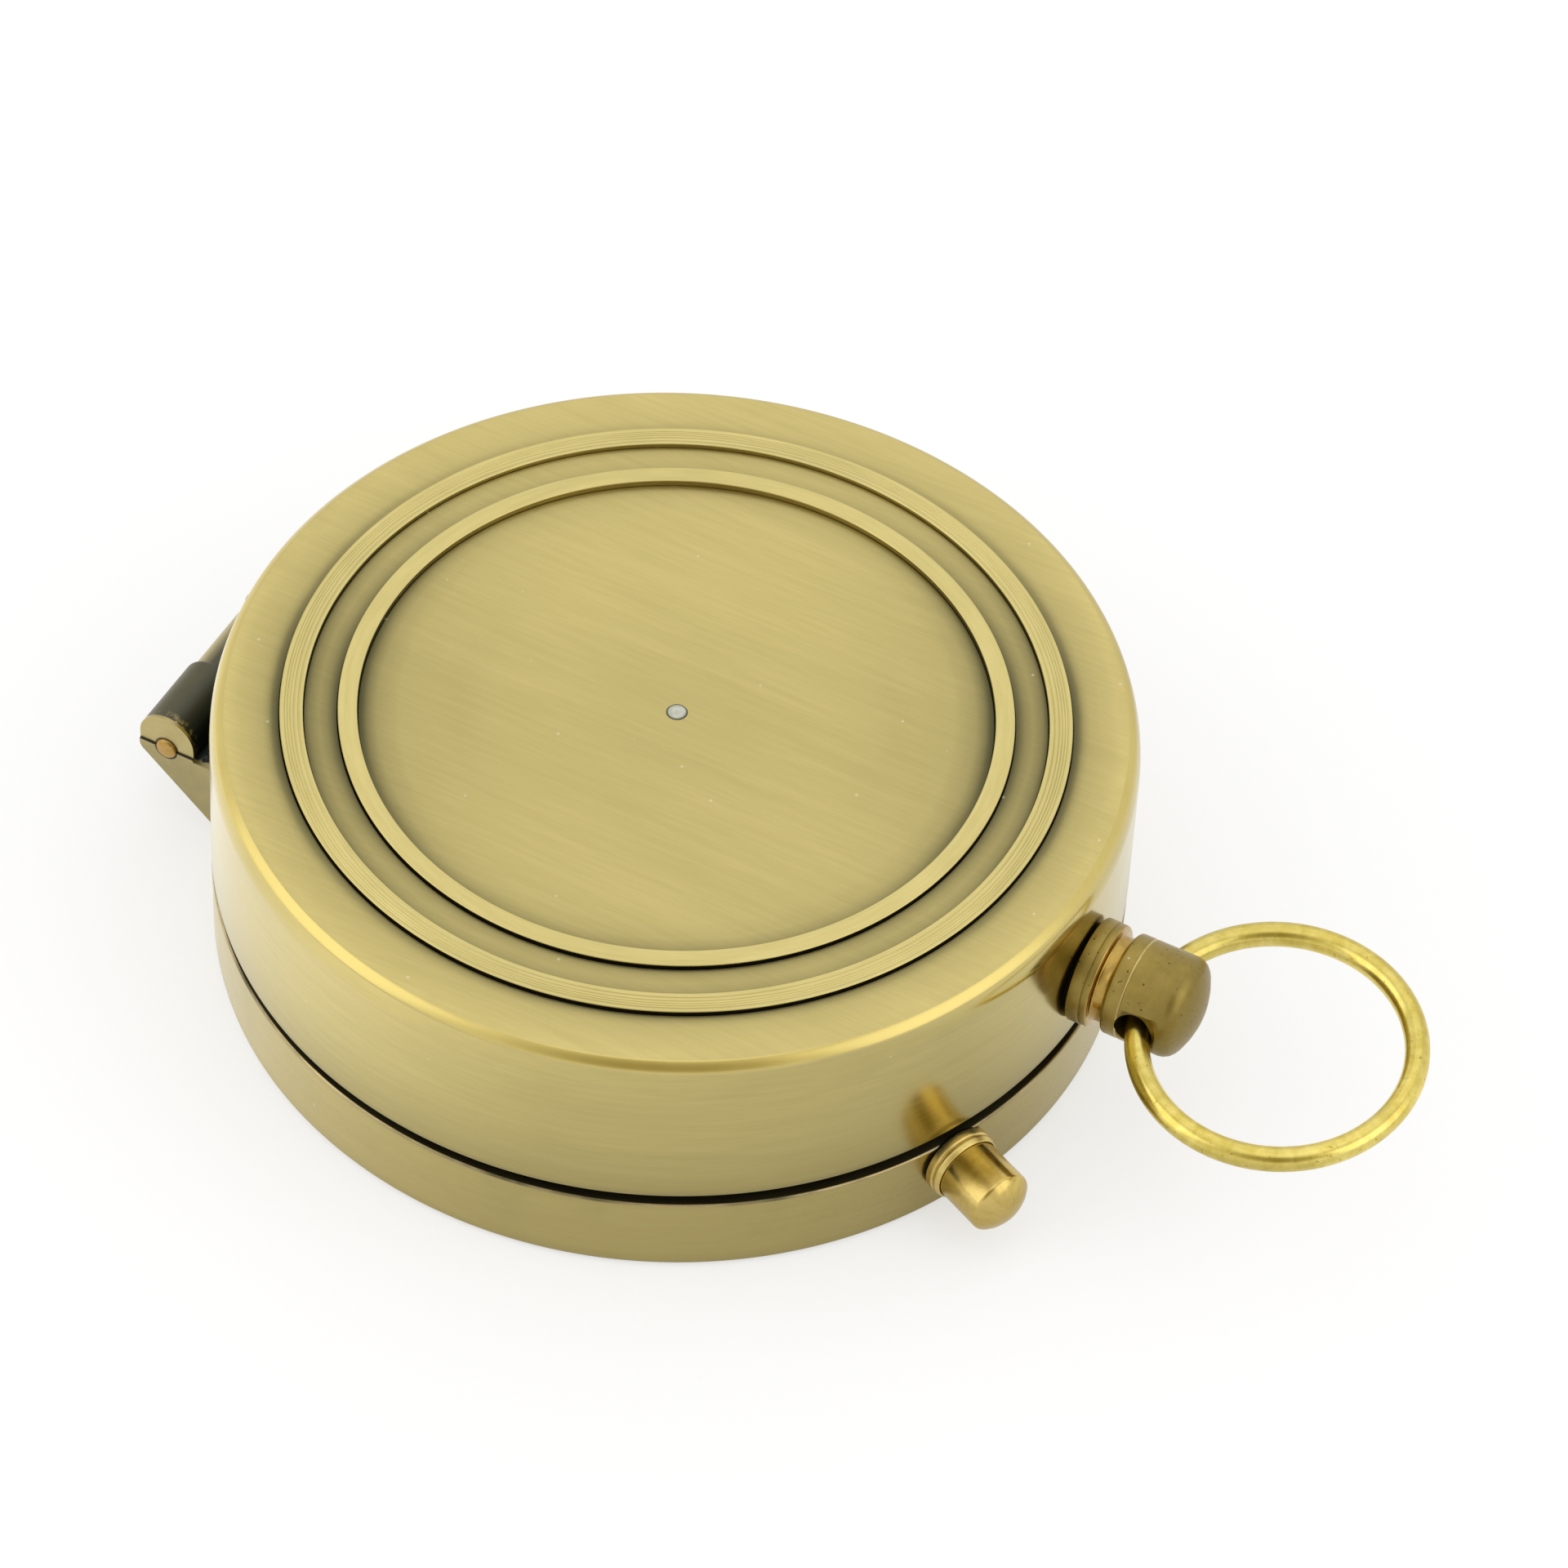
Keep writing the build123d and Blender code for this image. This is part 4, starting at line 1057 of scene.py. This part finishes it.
@dataclass
class Latch:
    """Push button, its bush and the return spring behind it."""

    azimuth: float = -24.5
    axis_z: float = 4.0
    spring_r: float = 1.4
    wire_r: float = 0.2
    wire_sides: int = 12
    turns: int = 4
    turn_steps: int = 28
    pitch: float = 0.9
    spring_from: float = 21.95
    spring_to: float = 25.8
    travel: float = 0.9
    case_r: float = 30.0
    bush_r: float = 2.45
    bush_back: float = 0.13
    bush_l: float = 1.3
    bush_groove_at: float = 0.74
    lip_slope: float = 0.3
    stub_r: float = 2.3
    cup_r: float = 2.24
    cup_floor: float = 30.2
    bore_r: float = 0.9
    shank_r: float = 1.4
    nut_in: float = 27.4
    stem_r: float = 0.85
    stem_in: float = 25.1
    head_in: float = 31.15
    head_l: float = 3.48
    head_r: float = 2.2
    dome: float = 0.95
    steps: int = 96

    def build(self) -> None:
        """Turn the button with its stem and domed end, and the bush, and coil the spring."""
        seat = Seat((0.0, 0.0, self.axis_z), (0.0, 90.0, self.azimuth))
        out = Matrix.Rotation(math.radians(self.azimuth), 3, "Z") @ Vector((1.0, 0.0, 0.0))
        stem = [
            (0.0, self.stem_in), (self.stem_r, self.stem_in, 0.1), (self.stem_r, self.head_in),
            (self.head_r, self.head_in, 0.05),
        ]
        end = Smith.domed(self.head_r, self.head_in + self.head_l, self.dome, 0.16)
        button = Smith.object_of(Smith.turned(stem + end, self.steps, 5), "button_turned", seat)
        gold = MetalFinish(
            "button_brass", (0.54, 0.395, 0.10), (0.69, 0.52, 0.18), (0.08, 0.05, 0.02), roughness=0.2, seat=seat,
            grain=0.7, relief_mm=0.003, pits=0.3,
        )
        Smith.place(button, "button", "button_brass", [gold], ["push_button"])
        self._bush(seat, out)
        self._spring(seat)

    def _bush(self, seat: Seat, out: Vector) -> None:
        """Turn the bush: a plain ring that stands off the case on a stub painted black as shade, a groove and a sloped
        lip.

        Args:
            seat: Local frame whose Z axis is the button's axis.
            out: Direction of the button's axis.
        """
        back, groove, end = (self.case_r + at for at in (self.bush_back, self.bush_groove_at, self.bush_l))
        wall = self.case_r - 0.1
        bm = Smith.turned([
            (self.bore_r, self.nut_in), (self.shank_r, self.nut_in, 0.08), (self.shank_r, wall), (self.stub_r, wall),
            (self.stub_r, back), (self.bush_r, back, 0.05), (self.bush_r, groove - 0.1, 0.08),
            (self.bush_r - 0.16, groove, 0.03), (self.bush_r, groove + 0.1, 0.06),
            (self.bush_r, end - self.lip_slope, 0.08), (self.cup_r + 0.08, end, 0.04), (self.cup_r, end, 0.02),
            (self.cup_r, self.cup_floor), (self.bore_r, self.cup_floor),
        ], self.steps, 5)
        ring = MetalFinish(
            "bush_brass", (0.60, 0.45, 0.13), (0.78, 0.61, 0.23), (0.08, 0.05, 0.02), roughness=0.32, seat=seat,
            grain=0.8, cloud=0.2, pits=0.3,
        )
        # The stub behind the ring takes the black finish as painted shade.
        Smith.place(
            Smith.object_of(bm, "bush_turned", seat), "lid", "button_brass", [ring, PAINTED_SHADE_BLACK], ["button_bush"],
            lambda x, y, z: int(out.x * x + out.y * y < back - 0.01),
        )

    def _spring(self, seat: Seat) -> None:
        """Coil the return spring and give it a mesh of its own.

        Args:
            seat: Local frame whose Z axis is the button's axis.
        """
        bm = bmesh.new()
        bmesh.ops.create_circle(bm, cap_ends=True, segments=self.wire_sides, radius=self.wire_r * MM)
        upright = Matrix.Translation((self.spring_r * MM, 0.0, 0.0)) @ Matrix.Rotation(math.pi / 2, 4, "X")
        bm.transform(upright)
        steps = self.turn_steps * self.turns
        bmesh.ops.spin(
            bm, geom=bm.faces[:], cent=(0, 0, 0), axis=(0, 0, 1), dvec=(0, 0, self.turns * self.pitch * MM / steps),
            angle=FULL_TURN * self.turns, steps=steps, use_merge=False,
        )
        bmesh.ops.recalc_face_normals(bm, faces=bm.faces[:])
        bm.transform(Matrix.Translation((0.0, 0.0, self.spring_from * MM)))
        spring = Smith.object_of(bm, "return_spring", seat)
        steel = MetalFinish("spring_steel", *STEEL, (0.1, 0.1, 0.1), roughness=0.25, brush=Brush.NONE)
        Smith.place(spring, "lid", "inner_steel", [steel], ["button_spring"], even=False)
        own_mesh(spring)


@dataclass
class Dial:
    """Dial, degree ring, needle and glass inside the bowl, all facing down in the closed case."""

    z_ring: float = 15.9
    z_plate: float = 16.8
    ink_mm: float = 0.03
    ring_out: float = 25.6
    stroke_share: float = 0.02
    font_share: float = 1.35
    number_r: float = 20.6
    number_h: float = 2.3
    letter_r: float = 15.6
    letter_h: float = 4.2

    def build(self) -> None:
        """Dress the dial's parts and print its scale."""
        Smith.dress(PaintFinish("dial_paint", (0.86, 0.84, 0.77), (0.79, 0.76, 0.66)), "dial_plate")
        Smith.dress(PaintFinish("scale_paint", (0.76, 0.72, 0.60), (0.66, 0.60, 0.46)), "dial_ring")
        Smith.dress(PaintFinish("gasket_rubber", (0.02, 0.02, 0.02), (0.04, 0.04, 0.04), 0.7), "glass_gasket")
        Smith.dress(GlassFinish("clear_glass", (0.97, 0.985, 0.98)), "cover_glass")
        Smith.dress(GlassFinish("cup_jewel", (0.55, 0.08, 0.12), 1.76), "cap_jewel")
        Smith.dress(NeedleFinish("needle_lacquer", (0.42, 0.02, 0.02), (0.66, 0.67, 0.68)), "needle")
        Smith.dress(MetalFinish(
            "turned_brass", (0.60, 0.44, 0.16), (0.74, 0.58, 0.26), roughness=0.28, grain=0.7, cloud=0.1,
        ), "bezel_ring", "needle_cap")
        Smith.dress(MetalFinish(
            "pivot_steel", (0.42, 0.42, 0.34), (0.66, 0.66, 0.56), (0.05, 0.05, 0.04), brush=Brush.NONE, grain=0.9,
            relief_mm=0.01, cloud=0.3, band=Band(Measure.RADIUS, ((0.0, 0.0), (0.48, 0.0), (0.66, 0.9))),
        ), "needle_pivot")
        ink = PaintFinish("dial_ink", (0.02, 0.02, 0.022), (0.035, 0.033, 0.03), 0.5)
        for printed in (self._ticks(), self._numbers()):
            Smith.place(printed, "bowl", "dial_white", [ink], even=False)

    def _ticks(self) -> Piece:
        """Return the marks of the degree ring, one every two degrees."""
        bm = bmesh.new()
        for degree in range(0, 360, 2):
            long = 2.0 if degree % 30 == 0 else 1.4 if degree % 10 == 0 else 0.8
            wide = 0.22 if degree % 30 == 0 else 0.12
            middle = self.ring_out - long / 2
            turn = Matrix.Rotation(math.radians(degree), 4, "Z")
            spot = Matrix.Translation((middle * MM, 0.0, (self.z_ring - self.ink_mm / 2) * MM))
            size = Matrix.Diagonal((long * MM, wide * MM, self.ink_mm * MM, 1.0))
            bmesh.ops.create_cube(bm, size=1.0, matrix=turn @ spot @ size)
        return Smith.object_of(bm, "degree_marks")

    def _numbers(self) -> Piece:
        """Return the degree numbers and the four quarter letters."""
        bm = bmesh.new()
        for degree in range(0, 360, 30):
            self._print(bm, str(degree), degree, self.number_r, self.number_h)
        for degree, letter in ((0, "N"), (90, "E"), (180, "S"), (270, "W")):
            self._print(bm, letter, degree, self.letter_r, self.letter_h)
        bmesh.ops.remove_doubles(bm, verts=bm.verts[:], dist=1e-7)
        bmesh.ops.dissolve_degenerate(bm, dist=1e-7, edges=bm.edges[:])
        bmesh.ops.recalc_face_normals(bm, faces=bm.faces[:])
        return Smith.object_of(bm, "dial_figures")

    def _print(self, bm: Shape, text: str, degree: float, radius: float, size: float) -> None:
        """Add one printed word to the dial, read from below.

        Args:
            bm: Shape to add to.
            text: Number or letter.
            degree: Bearing, clockwise as read on the dial.
            radius: Distance of its middle from the pivot.
            size: Height of the figures in millimetres.
        """
        curve = bpy.data.curves.new("figure", "FONT")
        curve.body = text
        curve.size = size * self.font_share
        curve.align_x = "CENTER"
        curve.align_y = "CENTER"
        curve.extrude = self.ink_mm / 2
        curve.offset = size * self.stroke_share
        holder = bpy.data.objects.new("figure", curve)
        bpy.context.scene.collection.objects.link(holder)
        mesh = Smith.evaluated(holder)
        bpy.data.objects.remove(holder)
        flip = Matrix.Rotation(math.pi, 4, "X") @ Matrix.Rotation(math.radians(-90), 4, "Z")
        out = Matrix.Translation((radius * MM, 0.0, 0.0))
        around = Matrix.Rotation(math.radians(degree), 4, "Z")
        up = Matrix.Translation((0.0, 0.0, (self.z_plate - self.ink_mm / 2) * MM))
        mesh.transform(up @ around @ out @ flip @ Matrix.Scale(MM, 4))
        bm.from_mesh(mesh)
        bpy.data.meshes.remove(mesh)


@dataclass
class Studio:
    """Camera at the photograph's angle, pale floor and soft light."""

    azimuth: float = 26.8
    elevation: float = 47.231
    distance_mm: float = 391.5
    yaw: float = 1.0294
    pitch: float = -0.6743
    roll: float = 2.4896
    focal_px: float = 7500.0
    frame_px: float = 1920.0
    target_z: float = 19.35
    dim_elevation: float = 42.0
    dim_colour: Rgb = (1.0, 0.9, 0.5)
    floor_half: float = 4.0
    floor_z: float = -0.0001
    floor_glow: float = 1.15
    soft_light: float = 0.75

    def build(self) -> None:
        """Set up the view, the stage and the lights."""
        scene = bpy.context.scene
        scene.view_settings.view_transform = "Standard"
        self._camera(scene)
        self._floor()
        self._world(scene)
        self._lamp("left_box", (-0.70, -0.46, 0.52), 0.9, 1.9)
        self._lamp("right_box", (0.80, 0.03, 0.56), 0.8, 1.5)
        self._lamp("back_box", (-0.10, 0.50, 0.90), 0.9, 0.6)
        self._lamp("top_box", (0.05, -0.10, 0.95), 0.5, 0.25)

    def _toward(self) -> Vector:
        """Return the direction from the object to the dim side of the studio, just below the camera."""
        around, lift = math.radians(self.azimuth), math.radians(self.dim_elevation)
        return Vector((math.sin(around) * math.cos(lift), -math.cos(around) * math.cos(lift), math.sin(lift)))

    @staticmethod
    def _swung(first: Vector, second: Vector, degrees: float) -> tuple[Vector, Vector]:
        """Return two square axes after the first has swung toward the second."""
        c, s = math.cos(math.radians(degrees)), math.sin(math.radians(degrees))
        return first * c + second * s, second * c - first * s

    def _camera(self, scene: bpy.types.Scene) -> None:
        """Place the scene's camera from its distance, angles and small turns."""
        lift = math.radians(self.elevation)
        right = Vector((1.0, 0.0, 0.0))
        ahead = Vector((0.0, math.cos(lift), -math.sin(lift)))
        up = Vector((0.0, math.sin(lift), math.cos(lift)))
        spot = -ahead * self.distance_mm * MM
        ahead, right = self._swung(ahead, right, self.yaw)
        ahead, up = self._swung(ahead, up, self.pitch)
        right, up = self._swung(right, up, self.roll)
        pose = Matrix((right, up, -ahead)).transposed().to_4x4()
        pose.translation = spot
        around = Matrix.Rotation(math.radians(self.azimuth), 4, "Z")
        data = bpy.data.cameras.new("camera")
        data.sensor_width = 36.0
        data.lens = data.sensor_width * self.focal_px / self.frame_px
        data.clip_start = 0.01
        data.clip_end = 50.0
        camera = bpy.data.objects.new("camera", data)
        camera.matrix_world = Matrix.Translation((0.0, 0.0, self.target_z * MM)) @ around @ pose
        scene.collection.objects.link(camera)
        scene.camera = camera

    def _floor(self) -> None:
        """Lay the white floor, which keeps the object's shadow and, in glossy rays, glows brighter at the two sides
        across the view as painted light.
        """
        bm = bmesh.new()
        bmesh.ops.create_grid(bm, x_segments=1, y_segments=1, size=self.floor_half)
        bm.transform(Matrix.Translation((0.0, 0.0, self.floor_z)))
        floor = Smith.object_of(bm, "floor")
        bench = MaterialBench("floor_paper")
        local = bench.local()
        paper = bench.mix(bench.noise(local, PAPER, 2.0), (0.93, 0.93, 0.93), (0.96, 0.96, 0.96))
        bench.shade({"Base Color": paper, "Roughness": 0.9, "Specular IOR Level": 0.1})
        # Painted light: in glossy rays the floor glows brighter at the two sides across the view, most on the camera's
        # left.
        side = bench.scalar("DOT_PRODUCT", bench.vector("NORMALIZE", local), PAINTED_LIGHT_AXIS)
        painted_side_glow = bench.ramp(side, (-0.9, 1.9), (-0.6, 1.35), (-0.3, 1.0), (0.5, 0.8), (0.75, 0.8), (0.95, 1.35))
        mirrored = bench.node("LightPath").outputs["Is Glossy Ray"]
        level = bench.scaled(mirrored, bench.calc("SUBTRACT", painted_side_glow, self.floor_glow), self.floor_glow)
        glow = bench.node("Emission", {"Color": WHITE, "Strength": level})
        surface = bench.mixed_shader(self._seen(bench, 0.5, 0.42), bench.shader, glow)
        bench.feed(bench.output.inputs["Surface"], surface)
        floor.data.materials.append(bench.material)

    @staticmethod
    def _seen(bench: NodeBench, straight: float, mirrored: float) -> Socket:
        """Return a share for the rays that show a background.

        Args:
            bench: Bench to add the nodes on.
            straight: Share for rays from the camera or through glass.
            mirrored: Share for mirrored rays.

        Returns:
            The share's socket, 0 for other rays.
        """
        path = bench.node("LightPath").outputs
        through = bench.times(bench.most(path["Is Camera Ray"], path["Is Transmission Ray"]), straight)
        return bench.most(through, bench.times(path["Is Glossy Ray"], mirrored))

    def _world(self, scene: bpy.types.Scene) -> None:
        """Light the scene evenly from a white surround, dim on the camera's side."""
        world = bpy.data.worlds.new("surround")
        scene.world = world
        world.use_nodes = True
        bench = NodeBench(world.node_tree)
        soft = bench.node("Background", {"Color": WHITE, "Strength": self.soft_light})
        near = bench.scalar("DOT_PRODUCT", bench.node("TexCoord").outputs["Generated"], self._toward())
        shade = bench.ramp(near, (0.84, 1.0), (0.90, 0.86), (0.95, 0.56), (0.985, 0.42), (1.0, 0.4))
        level = bench.most(bench.node("LightPath").outputs["Is Camera Ray"], shade)
        tint = bench.mix(bench.ramp(level, (0.5, 0.0), (1.0, 1.0)), self.dim_colour, WHITE)
        white = bench.node("Background", {"Color": tint, "Strength": level})
        surface = bench.mixed_shader(self._seen(bench, 1.0, 1.0), soft, white)
        bench.node("OutputWorld", {"Surface": surface})

    @staticmethod
    def _lamp(name: str, spot: Rgb, size: float, power: float) -> None:
        """Add a square soft lamp that looks at the object.

        Args:
            name: Name of the lamp.
            spot: Place in metres.
            size: Side in metres.
            power: Power in watts.
        """
        data = bpy.data.lights.new(name, "AREA")
        data.size = size
        data.energy = power
        lamp = bpy.data.objects.new(name, data)
        lamp.location = spot
        lamp.rotation_euler = (Vector((0.0, 0.0, 0.01)) - Vector(spot)).to_track_quat("-Z", "Y").to_euler()
        bpy.context.scene.collection.objects.link(lamp)


def main() -> None:
    """Build the compass in order, then its studio."""
    logging.basicConfig(level=logging.INFO)
    for part in (Bowl(), Lid(), Hinge(), Pendant(), Latch(), Dial(), Studio()):
        LOG.info("building %s", type(part).__name__)
        part.build()


if __name__ == "__main__":
    main()
